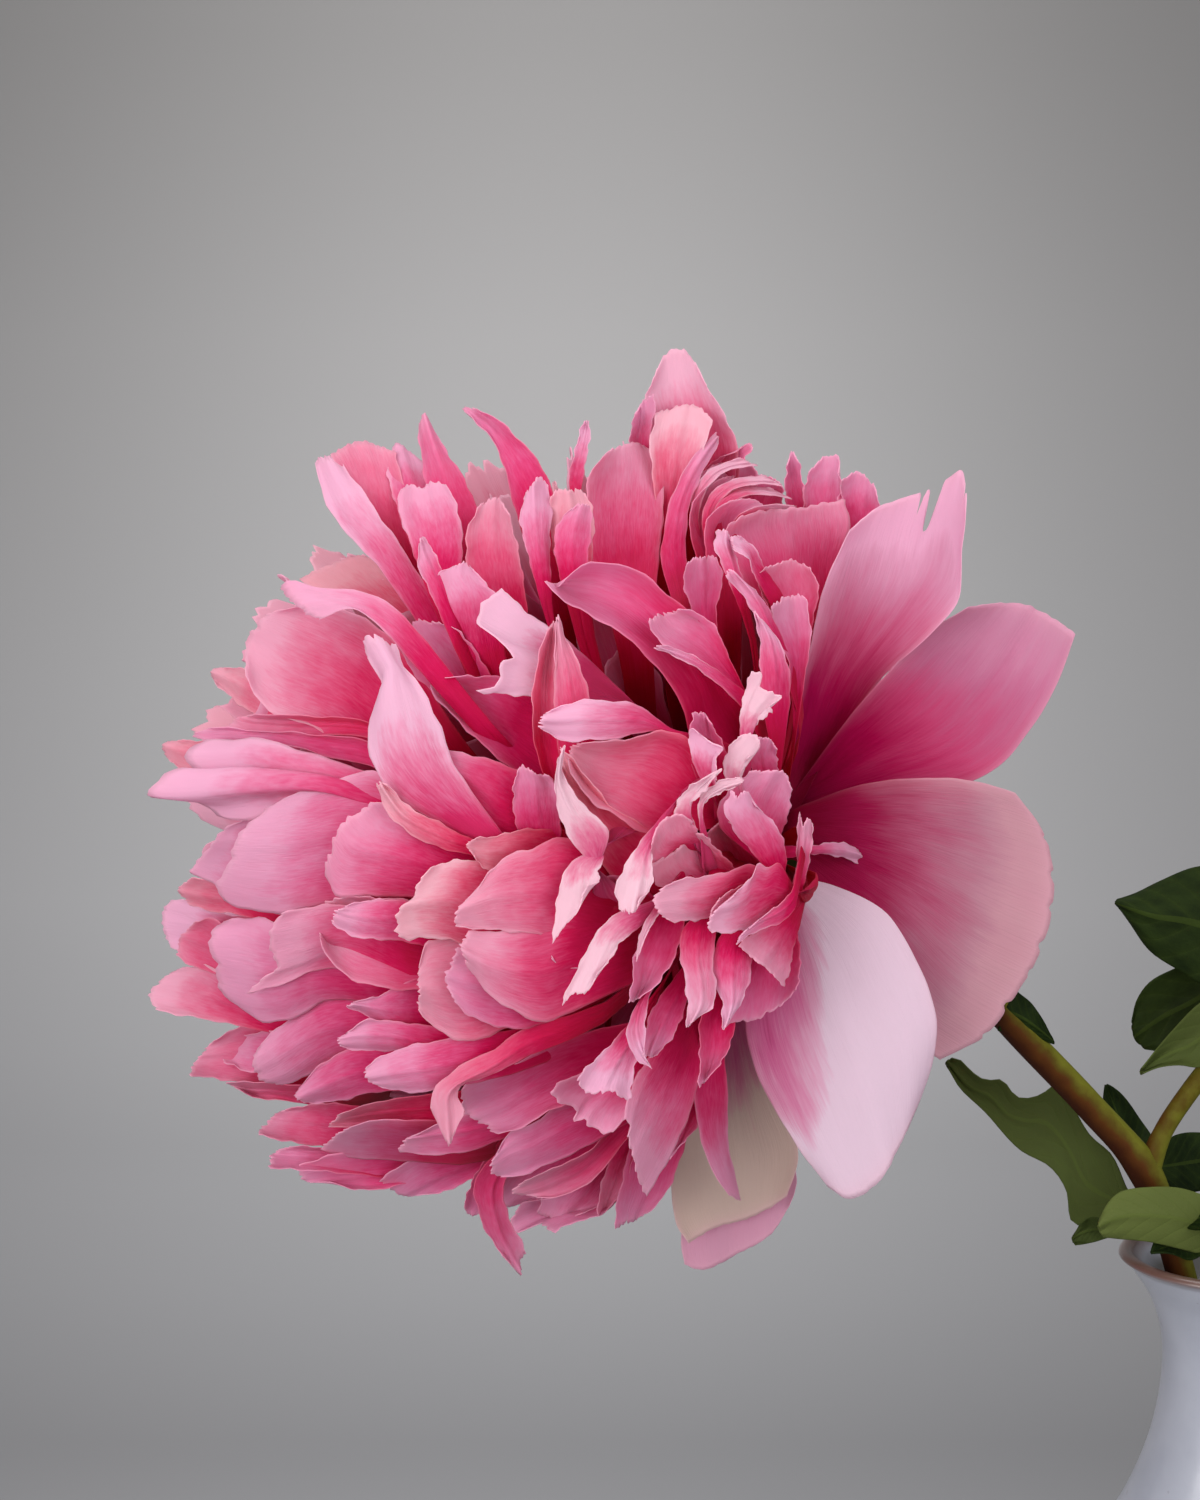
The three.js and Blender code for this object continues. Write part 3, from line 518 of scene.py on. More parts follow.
        [(410, 1150), (340, 1148)]),
    seen("skyline_two", (-13, -8), [(460, 1160), (400, 1185), (360, 1190)],
        [(330, 1182), (302, 1180), (300, 1165)], [(460, 1140), (380, 1150), (330, 1155)], pale=0.2),
    seen("skyline_three", (-11, -5), [(520, 1150), (470, 1180), (440, 1193)],
        [(430, 1194), (400, 1195), (380, 1180)], [(500, 1130), (450, 1152), (410, 1160)], pale=0.15),
    seen("curling", (0, 7), [(570, 1040), (520, 1060), (490, 1076), (465, 1083), (458, 1093), (463, 1110)],
        [(455, 1133), (448, 1144), (444, 1135)],
        [(570, 1015), (525, 1028), (495, 1048), (460, 1066), (437, 1085), (431, 1105), (436, 1122)],
        pale=0.4, warm=0.5, cup=-3),
    seen("curling_face", (-6, 1), [(650, 1060), (570, 1102), (540, 1116), (515, 1131)],
        [(498, 1133), (480, 1124), (464, 1108), (460, 1092)],
        [(640, 1020), (560, 1040), (500, 1072), (468, 1083)], pale=0.25, cup=5),
    seen("west_wing", (-7, -2), [(550, 1110), (500, 1140), (465, 1152), (430, 1155)],
        [(400, 1152), (402, 1142), (420, 1133)], [(550, 1090), (490, 1110), (450, 1118)], pale=0.35, cup=-2),
    seen("twenty", (-5, 0), [(650, 1110), (580, 1150), (545, 1166), (520, 1176)],
        [(500, 1178), (490, 1167), (498, 1152)], [(630, 1085), (560, 1105), (530, 1125), (508, 1133)],
        cup=-3),
    seen("boat", (-7, -1), [(650, 1110), (618, 1150), (595, 1178), (565, 1195)],
        [(540, 1198), (513, 1191), (525, 1180)], [(630, 1100), (590, 1150), (560, 1165), (540, 1174)],
        pale=0.25, warm=0.3, cup=4),
    seen("hem", (-12, -6), [(650, 1170), (600, 1215), (575, 1222)],
        [(555, 1232), (540, 1225), (515, 1232), (511, 1222), (520, 1205)],
        [(610, 1160), (560, 1190), (535, 1198)], pale=0.35),
    seen("twisted", (-8, 0), [(510, 1140), (475, 1180), (478, 1210), (490, 1238)],
        [(505, 1258), (522, 1275), (520, 1260), (526, 1252)],
        [(535, 1140), (505, 1180), (508, 1215), (518, 1235)], pale=0.1, warm=0.2, cup=2),
    seen("twisted_fin", (-10, -4), [(500, 1140), (475, 1175)], [(463, 1207), (472, 1216), (484, 1210)],
        [(525, 1150), (500, 1185)], pale=0.15),
    seen("hem_right", (-12, -6), [(640, 1100), (622, 1180), (615, 1215)],
        [(616, 1228), (630, 1222), (650, 1212)], [(700, 1100), (680, 1160), (668, 1190)], pale=0.2),
    seen("hem_middle", (-10, -5), [(625, 1120), (600, 1190)], [(598, 1216), (606, 1212)],
        [(645, 1120), (622, 1190)], warm=0.3),
    seen("hem_left", (-10, -5), [(570, 1110), (500, 1165)], [(486, 1192), (500, 1206), (530, 1202)],
        [(620, 1140), (575, 1190)]),
    seen("hem_low", (-13, -8), [(600, 1120), (545, 1185)], [(538, 1212), (556, 1222), (580, 1214)],
        [(640, 1150), (610, 1200)], pale=0.4),
    # Upper right
    seen("arch", (-4, 4),
        [(705, 750), (690, 735), (684, 710), (672, 688), (655, 665), (635, 645), (612, 627), (590, 615),
         (565, 602)], [(546, 582), (560, 586)],
        [(745, 700), (720, 645), (685, 608), (665, 592), (640, 572), (615, 563), (590, 563), (573, 572)],
        pale=0.2, cup=6),
    seen("second_arch", (-1, 5), [(745, 715), (735, 692), (700, 663), (675, 651), (655, 637)],
        [(648, 619), (660, 615), (682, 609)], [(745, 690), (728, 655), (716, 628), (700, 614)]),
    seen("arch_rim", (2, 7), [(752, 725), (742, 708), (720, 686), (690, 664)], [(655, 648), (662, 645)],
        [(755, 700), (735, 684), (705, 662), (680, 650)], pale=0.6, cup=-1),
    seen("dark_tongue", (-6, 0), [(702, 660), (690, 605), (683, 580)], [(688, 563), (702, 556), (717, 558)],
        [(718, 660), (717, 605), (723, 580)], pale=0.15),
    seen("swirl_one", (-13, -6), [(705, 510), (702, 480), (712, 462)], [(735, 452), (750, 443), (752, 450)],
        [(730, 510), (735, 475), (742, 462)], **SWIRL),
    seen("swirl_two", (-10, -4), [(715, 540), (700, 500), (700, 478)],
        [(712, 465), (735, 460), (752, 465), (757, 474)], [(745, 540), (750, 505), (757, 485)], cup=4,
        **SWIRL),
    seen("swirl_three", (-9, -4), [(735, 540), (735, 505), (738, 485)], [(750, 476), (770, 476), (782, 485)],
        [(770, 540), (780, 510), (783, 495)], **SWIRL),
    seen("swirl_four", (-7, -2), [(700, 570), (690, 530), (692, 505)], [(703, 489), (722, 478), (735, 476)],
        [(725, 560), (715, 510), (725, 490)], **SWIRL),
    seen("swirl_five", (-5, 0), [(712, 590), (705, 545), (706, 522)],
        [(718, 507), (738, 499), (755, 500), (764, 507)], [(740, 580), (735, 525), (748, 512)], cup=4,
        **SWIRL),
    seen("ruffle_one", (-8, -3), [(695, 545), (690, 515), (695, 488), (712, 468)], [(740, 458), (758, 466)],
        [(702, 545), (699, 516), (705, 493), (720, 475), (742, 467)], **RUFFLE),
    seen("ruffle_two", (-6, -1), [(706, 548), (702, 520), (709, 496), (728, 481)], [(762, 475), (783, 486)],
        [(713, 545), (711, 520), (719, 502), (735, 489), (762, 484)], **RUFFLE),
    seen("ruffle_three", (-4, 1), [(716, 536), (713, 515), (722, 498), (740, 488)], [(768, 487), (792, 499)],
        [(723, 533), (722, 517), (730, 505), (745, 496), (768, 495)], **RUFFLE),
    seen("ruffle_four", (-3, 2), [(729, 538), (735, 519), (752, 508)], [(775, 504), (797, 506)],
        [(736, 541), (744, 525), (757, 516), (778, 511)], **RUFFLE),
    seen("broad_rose", (-6, -1), [(770, 640), (740, 575), (722, 540)],
        [(728, 525), (745, 514), (765, 510), (785, 510), (815, 503), (845, 500)],
        [(830, 620), (840, 560), (850, 525)], pale=0.1, warm=0.35, cup=4),
    seen("crumple_left", (0, 4), [(740, 610), (722, 565), (714, 545)], [(716, 532), (724, 529), (731, 540)],
        [(750, 610), (740, 570), (735, 555)], pale=0.85, cup=-2),
    seen("crumple_right", (1, 5), [(768, 600), (753, 573), (748, 558)], [(735, 552), (731, 538), (740, 536)],
        [(780, 590), (763, 565), (757, 550)], pale=0.8, cup=-2),
    seen("hood", (-3, 3), [(785, 650), (765, 600), (757, 580)],
        [(764, 568), (782, 562), (798, 561), (811, 568)], [(808, 650), (815, 610), (819, 590)], pale=0.1,
        warm=0.35, cup=5),
    seen("beside_guard", (-9, -4), [(800, 630), (800, 590), (805, 565)], [(822, 547), (842, 533)],
        [(840, 630), (850, 570)], pale=0.4),
    seen("jag_one", (-14, -7), [(792, 540), (785, 490)], [(787, 465), (792, 452), (799, 462)],
        [(810, 540), (803, 485)], back=4),
    seen("jag_two", (-15, -8), [(812, 550), (803, 495)], [(810, 470), (825, 457), (838, 455), (839, 475)],
        [(850, 550), (843, 500)], pale=0.4, back=4),
    seen("jag_three", (-15, -8), [(842, 550), (838, 500)], [(843, 480), (858, 472), (872, 482), (878, 498)],
        [(880, 560), (880, 515)], pale=0.35, back=4),
    seen("notched", (-2, 3), [(792, 700), (788, 660), (778, 640), (772, 625)],
        [(772, 607), (782, 597), (790, 598), (800, 594), (806, 598)], [(800, 710), (806, 670), (811, 635)],
        pale=0.35),
    seen("pale_sickle", (-1, 4), [(790, 690), (768, 640), (747, 602)], [(727, 577), (731, 570), (742, 580)],
        [(795, 670), (776, 624), (762, 598)], pale=0.55, cup=-2),
    seen("thorned", (3, 7), [(768, 735), (760, 690), (760, 660), (759, 635)], [(753, 611), (764, 622)],
        [(785, 740), (790, 700), (790, 675), (784, 652), (774, 633)], pale=0.65, cup=-3),
    seen("saw_upper", (6, 10), [(740, 745), (740, 715), (744, 694)],
        [(751, 671), (762, 673), (760, 688), (782, 696), (770, 706), (772, 712)], [(752, 750), (754, 728)],
        cup=-2, **WHITE_EDGE),
    seen("saw_lower", (6, 10), [(735, 795), (723, 770), (728, 750)],
        [(738, 736), (755, 734), (760, 743), (757, 751), (746, 758)], [(748, 800), (740, 778)], cup=-2,
        **WHITE_EDGE),
    # Middle
    seen("keel_left", (0, 6), [(556, 800), (540, 765), (533, 730), (533, 690), (539, 655)],
        [(547, 630), (558, 619)], [(566, 800), (556, 720), (556, 660)], pale=0.35, warm=0.5, cup=4),
    seen("keel_right", (1, 6), [(566, 800), (555, 720), (555, 660)], [(556, 622), (559, 617)],
        [(598, 770), (590, 700), (580, 665), (568, 643)], pale=0.5, warm=0.4, cup=-3),
    seen("pale_hood", (4, 10), [(700, 745), (655, 731), (620, 738), (580, 741), (560, 740)],
        [(545, 732), (539, 722), (550, 711)], [(700, 735), (670, 728), (640, 706), (600, 700), (572, 702)],
        pale=0.95, cup=-4),
    seen("salmon", (2, 8), [(700, 830), (650, 835), (610, 812), (592, 802), (578, 785)],
        [(568, 762), (570, 750), (582, 742)], [(715, 790), (692, 742), (665, 730), (645, 735), (612, 741)],
        warm=0.55, cup=5),
    seen("salmon_back", (1, 7), [(640, 900), (606, 870), (588, 840), (568, 800)], [(560, 775), (562, 748)],
        [(680, 860), (650, 830), (610, 805), (590, 780)], pale=0.5, warm=0.8),
    seen("white_roll", (6, 10), [(594, 866), (578, 850), (566, 832), (558, 810), (555, 785)],
        [(557, 762), (565, 745)], [(601, 860), (609, 834), (600, 819), (586, 808), (573, 790), (563, 775)],
        cup=-2, **WHITE_EDGE),
    seen("white_jag", (6, 10), [(594, 850), (570, 863), (560, 885), (555, 915)],
        [(552, 944), (566, 924), (578, 910), (583, 893), (589, 884)],
        [(604, 855), (603, 862), (598, 872), (600, 881)], cup=-1, **WHITE_EDGE),
    seen("jag_face", (0, 5), [(640, 960), (600, 968), (575, 968), (560, 965)],
        [(551, 958), (553, 940), (575, 905)], [(660, 900), (630, 880), (610, 875), (592, 885)], cup=4),
    seen("white_fold", (8, 12), [(665, 812), (640, 842), (628, 860), (618, 880), (615, 895)],
        [(620, 908), (628, 914), (637, 908), (638, 899)], [(668, 818), (652, 850), (653, 870), (650, 890)],
        cup=-2, **WHITE_EDGE),
    seen("white_blade", (8, 12), [(640, 905), (612, 916), (592, 940), (578, 968), (566, 992)],
        [(562, 1005), (572, 995), (587, 991), (597, 974)], [(642, 925), (630, 935), (620, 943), (612, 957)],
        cup=-2, **WHITE_EDGE),
    seen("small_salmon", (4, 9), [(690, 850), (675, 850), (660, 862), (652, 865)],
        [(651, 845), (657, 828), (668, 817), (680, 814), (692, 822)], [(715, 850), (703, 838)], warm=0.4,
        cup=-3),
    seen("pink_shell", (2, 8), [(715, 900), (670, 890), (655, 882)],
        [(652, 864), (675, 851), (692, 834), (704, 834)], [(745, 880), (728, 860), (716, 848)], pale=0.4,
        warm=0.4),
    seen("dark_bowl", (-2, 5), [(720, 870), (706, 850), (703, 838)], [(710, 830), (722, 822), (733, 822)],
        [(765, 870), (757, 850), (745, 835)], pale=0.2, warm=0.5, cup=4),
    seen("saw_left", (6, 10), [(690, 840), (674, 815), (684, 792)],
        [(700, 780), (722, 769), (711, 781), (706, 791)], [(700, 838), (690, 806), (698, 797)], cup=-1,
        **WHITE_EDGE),
    seen("saw_strip", (7, 11), [(700, 835), (700, 797), (720, 781)], [(736, 777), (744, 780), (733, 788)],
        [(706, 830), (702, 806), (716, 795)], cup=-1, **WHITE_EDGE),
    seen("leaning_dark", (2, 7), [(700, 790), (690, 755), (690, 730)], [(693, 714), (702, 712), (710, 722)],
        [(735, 790), (728, 757), (722, 742)], pale=0.15),
    seen("leaning_pale", (5, 9), [(708, 790), (697, 772), (690, 750), (690, 728)],
        [(698, 733), (712, 743), (723, 748), (716, 758), (717, 770)], [(715, 792), (716, 782)], pale=1.1,
        cup=-2),
    seen("round_back", (3, 8), [(745, 850), (722, 830), (717, 815), (724, 796), (738, 781)],
        [(750, 772), (768, 770), (785, 774), (791, 788)], [(775, 850), (785, 825), (790, 808)], pale=0.4,
        cup=-3),
    seen("front_lip", (8, 12), [(775, 880), (752, 852), (737, 835), (728, 820), (724, 806)],
        [(731, 791), (737, 796), (743, 791), (749, 794), (754, 805)],
        [(785, 880), (786, 852), (778, 828), (764, 813)], pale=0.7, cup=-4),
    seen("side_lip", (0, 6), [(760, 790), (750, 765), (748, 752)], [(757, 738), (768, 738), (776, 748)],
        [(778, 790), (778, 770)], pale=0.35, cup=-2),
    seen("eight", (7, 12), [(740, 900), (735, 900), (712, 917), (690, 921)],
        [(670, 921), (657, 911), (655, 897), (666, 884)],
        [(775, 880), (752, 864), (735, 869), (712, 875), (688, 878)], pale=0.6, warm=0.3, cup=-4),
    seen("nine_lip", (11, 15), [(790, 900), (768, 915), (748, 929), (728, 933)],
        [(712, 933), (708, 923), (716, 910), (733, 897)],
        [(790, 880), (778, 863), (768, 867), (758, 864), (752, 877), (740, 888)], pale=0.85, warm=0.1,
        cup=-4),
    seen("nine_rim", (8, 13), [(770, 905), (745, 900), (722, 908)], [(709, 921), (712, 910), (720, 898)],
        [(775, 890), (748, 884), (732, 890)], pale=0.5, warm=0.4, cup=-1),
    seen("ten_rim", (12, 16), [(800, 885), (793, 912), (778, 924), (760, 930), (745, 938)],
        [(736, 945), (742, 934), (752, 926)], [(797, 870), (792, 890), (782, 902), (766, 914)], pale=0.6,
        cup=-1),
    seen("ten_lip", (6, 12), [(790, 905), (765, 925), (745, 938)],
        [(738, 946), (752, 957), (763, 966), (775, 977), (784, 986)], [(800, 925), (793, 950), (790, 970)],
        pale=0.35, warm=0.3, cup=-3),
    seen("eleven", (8, 13), [(700, 915), (688, 922), (680, 938), (680, 955), (685, 980), (687, 1005)],
        [(687, 1026), (697, 1018)], [(712, 912), (716, 935), (713, 960), (716, 985), (714, 1005)], pale=0.85,
        warm=0.2, cup=-3),
    seen("twelve_lip", (9, 14), [(728, 925), (716, 944), (712, 965), (715, 985), (722, 1003)],
        [(722, 1030), (730, 1020)], [(752, 930), (752, 955), (750, 980), (740, 1005)], pale=0.85, cup=-4),
    seen("cavity_rim", (2, 8), [(755, 930), (738, 970), (728, 1005)],
        [(722, 1029), (738, 1021), (757, 1019), (778, 1008), (797, 988)],
        [(795, 920), (800, 950), (800, 970)], pale=0.1, cup=5),
    seen("slim_tail", (3, 9), [(712, 990), (700, 1020), (700, 1050)], [(699, 1087), (709, 1077)],
        [(738, 1005), (733, 1035), (724, 1058)], pale=0.2),
    seen("fourteen_lip", (5, 10), [(668, 890), (652, 915), (640, 938), (633, 965), (632, 988)],
        [(628, 1002), (640, 998)], [(688, 900), (682, 935), (672, 962), (656, 985)], cup=4),
    seen("fourteen_rim", (7, 12), [(660, 900), (645, 922), (638, 942)], [(636, 962), (644, 940)],
        [(664, 902), (658, 915), (650, 928)], pale=1.2, warm=0.3, cup=-1),
    seen("sickle", (5, 11), [(665, 965), (645, 992), (630, 1018), (627, 1040), (636, 1058)],
        [(652, 1069), (643, 1055)], [(672, 962), (652, 990), (646, 1015), (645, 1038)], pale=0.95, cup=-2),
    seen("sickle_back", (2, 7), [(680, 970), (652, 1010), (643, 1040)], [(644, 1056), (655, 1056)],
        [(692, 975), (686, 1005), (672, 1038)], cup=-2),
    seen("fan", (3, 9), [(640, 1010), (608, 1047), (588, 1066)],
        [(576, 1080), (583, 1089), (597, 1094), (613, 1092), (622, 1097), (631, 1098)],
        [(652, 1015), (638, 1055), (633, 1078)], pale=0.9, cup=-2),
    seen("fan_under", (-2, 3), [(640, 1040), (590, 1070), (562, 1081)],
        [(550, 1092), (558, 1103), (577, 1110), (574, 1120), (586, 1119), (590, 1127), (607, 1135),
         (628, 1115)], [(665, 1050), (645, 1085), (634, 1100)], warm=0.1),
    seen("pointed_skirt", (-3, 5), [(670, 1030), (637, 1075), (626, 1105)],
        [(624, 1119), (631, 1124), (628, 1138), (636, 1168), (646, 1197)],
        [(705, 1040), (694, 1100), (676, 1145), (658, 1178)], pale=0.5, warm=0.1, cup=-4),
    seen("skirt_back", (-8, -3), [(682, 1090), (670, 1130)], [(664, 1152), (668, 1160), (678, 1148)],
        [(712, 1090), (698, 1125)]),
    seen("long_tongue", (-2, 5), [(700, 1030), (694, 1090), (700, 1135), (712, 1170)],
        [(728, 1194), (741, 1201)], [(722, 1030), (728, 1100), (728, 1140), (735, 1175)], pale=0.5, cup=-3),
    seen("strap_right", (-4, -10), [(778, 860), (815, 854), (840, 857)],
        [(858, 863), (863, 858), (855, 847)], [(778, 846), (815, 845), (838, 842)], pale=0.65, cup=-1),
    seen("thin_saw", (6, 9), [(785, 905), (796, 870), (797, 840)],
        [(799, 811), (803, 825), (808, 818), (813, 827)], [(800, 900), (808, 868), (812, 845)], pale=0.5,
        warm=0.2, cup=-1),
]

# The collar's broad guard petals that the picture shows; deep is how far towards the camera their two ends
# lie from the ball's middle, in mm.
SEEN_GUARDS = [
    seen("guard_top", None, [(792, 752), (800, 690), (812, 640), (820, 600), (835, 560)],
        [(850, 530), (878, 507), (905, 497), (920, 493), (935, 487), (950, 477), (961, 470), (966, 490),
         (966, 512)], [(830, 752), (880, 680), (930, 635), (958, 600), (962, 550)], pale=0.75, cup=7,
        deep=(24, 32), notches=[(-0.01, 0.02, 5.0), (0.17, 0.07, 10.0), (0.72, 0.03, 2.5)]),
    seen("guard_upper", None, [(806, 775), (850, 716), (900, 660), (935, 628)],
        [(968, 607), (1000, 603), (1030, 606), (1060, 622), (1075, 634)],
        [(812, 806), (900, 792), (960, 785), (1000, 765), (1040, 715), (1065, 665)], pale=0.28, cup=6,
        deep=(23, 30)),
    seen("guard_right", None, [(802, 805), (860, 785), (920, 778), (975, 781)],
        [(1015, 793), (1042, 830), (1054, 880), (1045, 940), (1016, 995), (985, 1035), (940, 1060)],
        [(800, 865), (860, 950), (900, 1030)], pale=0.42, warm=0.9, cup=2, deep=(35, 34),
        notches=[(-0.66, 0.02, 0.6), (-0.42, 0.03, 0.8), (-0.22, 0.02, 0.6), (0.02, 0.03, 0.8),
         (0.2, 0.02, 0.5), (0.45, 0.03, 0.9), (0.68, 0.02, 0.6)]),
    seen("guard_white", None, [(768, 905), (745, 1010), (752, 1060), (775, 1110), (800, 1150)],
        [(828, 1187), (850, 1199), (880, 1180), (900, 1145), (920, 1100)],
        [(800, 878), (835, 886), (885, 912), (915, 958), (936, 1015), (932, 1065)], pale=1.8, cup=-9,
        lean=0.45, deep=(40, 46)),
    seen("guard_cream", None, [(700, 1040), (675, 1130), (671, 1180), (676, 1222)],
        [(688, 1243), (715, 1228), (745, 1219), (770, 1208), (787, 1196)],
        [(750, 1030), (775, 1090), (797, 1140), (797, 1165)], pale=1.6, warm=2.5, deep=(16, 10)),
    seen("guard_curled", None, [(700, 1060), (690, 1150), (681, 1240)],
        [(685, 1265), (702, 1270), (735, 1255), (770, 1235), (790, 1205)],
        [(770, 1100), (788, 1150), (797, 1180)], pale=0.55, warm=0.2, deep=(12, 4)),
]

GUARD_FORWARD = 7.0               # mm from the axis to the roots of the seen ones; the others' lie behind it
HIDDEN_GUARD_FACE = np.array([0.6, -0.75, 0.0])
# The ones behind: tip from the bloom's base, blade width and bulge to the inner side, in mm.
HIDDEN_GUARDS = [
    dict(tip=(22, 34, 62), width=42, bulge=12),
    dict(tip=(40, 52, 22), width=46, bulge=12),
    dict(tip=(38, 54, -26), width=46, bulge=12),
    dict(tip=(16, 36, -62), width=42, bulge=12),
]


def frayed(sheet, across, v, notches, phase, ragged, reach):
    """Cuts teeth and notches into a blade's crown and scallops its edges; v is 0 to 1 up the blade."""
    split = np.exp(-((across - 0.5 * math.sin(phase)) / 0.08) ** 2)
    teeth = (0.4 * np.sin(5 * across + 2 * phase) + 0.3 * np.sin(23 * across + phase)
             + 0.25 * np.sin(37 * across + 3 * phase) + split)
    teeth = teeth * ragged * min(1.0, reach / 25)
    for middle, half, cut in notches:
        teeth = teeth + cut * np.exp(-((across - middle) / half) ** 4)
    sheet = sheet - units(sheet[-1] - sheet[-5])[None] * teeth[..., None] * (v ** 9)[..., None]
    scallop = 0.3 * np.sin(25 * v + phase + across) + 0.2 * np.sin(47 * v + 3 * phase)
    narrowing = ragged * scallop * np.sign(across) * np.abs(across) ** 8 * np.sin(math.pi / 2 * v)
    return sheet - units(sheet[:, -1:] - sheet[:, :1]) * narrowing[..., None]


def claw_rows(sheet, root, width):
    """Rows of points that carry a blade's low end back to its root, and each row's place along the claw."""
    low = sheet[0]
    way = units(sheet[1] - low)
    start = root + unit(low[-1] - low[0]) * (np.linspace(-0.5, 0.5, len(low)) * width)[:, None]
    span = np.linalg.norm(low - start, axis=1, keepdims=True)
    t = np.linspace(0, 1, CLAW_ROWS, endpoint=False)[:, None, None]
    claw = (start * (1 - t) ** 3 + 3 * (start + (low - start) / 3) * t * (1 - t) ** 2
            + 3 * (low - way * span / 3) * t ** 2 * (1 - t) + low * t ** 3)
    return claw, t[..., 0]


def seen_petal(blades, petal, number, root, columns=36, rows=28, ragged=0.7, flare=0.9,
               claw_width=PETAL_CLAW, thickness=PETAL_THICKNESS):
    """Builds a petal whose outline is known in the picture.

    Its blade is stretched between its edges and its crown, set to its depth, and carried on by a narrowing
    claw to its root.
    """
    left = spaced(petal["left"] + petal["crown"][:1], rows)
    right = spaced(petal["right"] + petal["crown"][-1:], rows)
    crown = spaced(petal["crown"], columns)
    u, v = np.meshgrid(np.linspace(0, 1, columns), np.linspace(0, 1, rows))
    u3, v3 = u[..., None], v[..., None]
    base = left[0] + (right[0] - left[0]) * np.linspace(0, 1, columns)[:, None]
    picture = ((1 - v3) * base + v3 * crown + (1 - u3) * left[:, None] + u3 * right[:, None]
               - (1 - u3) * (1 - v3) * left[0] - u3 * (1 - v3) * right[0]
               - (1 - u3) * v3 * crown[0] - u3 * v3 * crown[-1])
    phase, dice = FULL_TURN * seeded(number), seeded(number + 40)
    if petal["deep"]:
        low_left = low_right = petal["deep"][0]
        high_left = high_right = petal["deep"][1]
    else:
        low, high = petal["rise"]
        low_left, low_right = nearness(*left[0], low), nearness(*right[0], low)
        high_left, high_right = nearness(*crown[0], high), nearness(*crown[-1], high)
    across = 2 * u - 1
    depth = ((low_left * (1 - u) + low_right * u) * (1 - v) + (high_left * (1 - u) + high_right * u) * v
             - petal["back"] * v)
    # The blade follows the ball's curve, is hollowed, turns out at its edges, waves and has a midrib.
    reach = np.linalg.norm((crown[columns // 2] - base[columns // 2])) / PIXELS_PER_MM
    depth = depth + reach ** 2 / (8 * BALL_RADIUS) * np.sin(math.pi * v)
    hollow = petal["cup"] if petal["cup"] > 0 else petal["cup"] * 0.5
    depth = depth - hollow * (1 - across ** 2) * (0.3 + 0.7 * np.sin(math.pi / 2 * v))
    depth = depth + flare * (np.abs(across) ** 7 * v + v ** 10)
    waves = np.abs(across) ** 2 * v * np.sin(2 * FULL_TURN * v + phase + 2 * (across > 0))
    waves = waves + 0.6 * v ** 4 * np.sin(4.5 * across + 2 * phase)
    waves = waves + 0.35 * np.sin(5 * across + phase) * np.sin(7 * v + phase) * v
    depth = depth + SEEN_FRILL * waves + 0.2 * np.sin(8 * across + 3 * phase) * v ** 3
    depth = depth + 0.8 * np.exp(-(across / 0.16) ** 2) * v * (1 - 0.5 * v)
    sheet = placed(sight(picture[..., 0], picture[..., 1]), depth)
    sheet = frayed(sheet, across, v, petal["notches"], phase, ragged, reach)
    claw, claw_share = claw_rows(sheet, root, claw_width)
    sheet = np.concatenate([claw, sheet])
    across = np.concatenate([across[:CLAW_ROWS], across])
    claw_along = np.broadcast_to(claw_share * HIDDEN_SHARE, (CLAW_ROWS, columns))
    along = np.concatenate([claw_along, HIDDEN_SHARE + (1 - HIDDEN_SHARE) * v])
    length = np.linalg.norm(np.diff(sheet[:, columns // 2], axis=0), axis=1).sum()
    width = np.linalg.norm(sheet[-rows // 2, -1] - sheet[-rows // 2, 0])
    blades.add(sheet, across, along, width, length, thickness, dice, petal["pale"], petal["warm"],
               petal["lean"])


def crown_place(petal):
    """A petal's crown in millimetres, near enough to choose its root by."""
    x, y = petal["crown"][len(petal["crown"]) // 2]
    depth = petal["deep"][1] if petal["deep"] else nearness(x, y, petal["rise"][1])
    return placed(sight(x, y), depth)


def seen_petals(material):
    groups = [Blades() for _ in range(FRONT_PIECES)]
    for number, petal in enumerate(SEEN_PETALS):
        seen_petal(groups[number % FRONT_PIECES], petal, number, ball_root(crown_place(petal)))
    for number, blades in enumerate(groups):
        settle(blades.build(f"front_petals_{number + 1}", material), "petal", "petals")


def spiral(count, reach):
    """Directions from the ball's middle in a sunflower's spiral, from the crown round to the collar."""
    for index in range(count):
        cosine = 1 - reach * (index + 0.5) / count
        sine = math.sqrt(1 - cosine * cosine)
        angle = index * GOLDEN_ANGLE
        yield index, AXIS * cosine + (UPWARD * math.sin(angle) + FORWARD * math.cos(angle)) * sine


# The far side of the ball: one piece with the longest petals, and two that share a denser layer a little
# inside them. A petal is left out if it points less to the back than foremost, draw keeps the two layers'
# chances apart, and the piece holds number kept of every so many petals.
FAR_REACH = 1.62                  # how far round the ball a spiral goes: 0 is the crown alone, and 2 is all
FAR_PIECES = [
    dict(name="far_petals_1", count=60, size=1.0, girth=1, foremost=0.1, draw=0, every=1, kept=0),
    dict(name="far_petals_2", count=170, size=0.97, girth=0.8, foremost=-0.22, draw=300, every=2, kept=0),
    dict(name="far_petals_3", count=170, size=0.97, girth=0.8, foremost=-0.22, draw=300, every=2, kept=1),
]


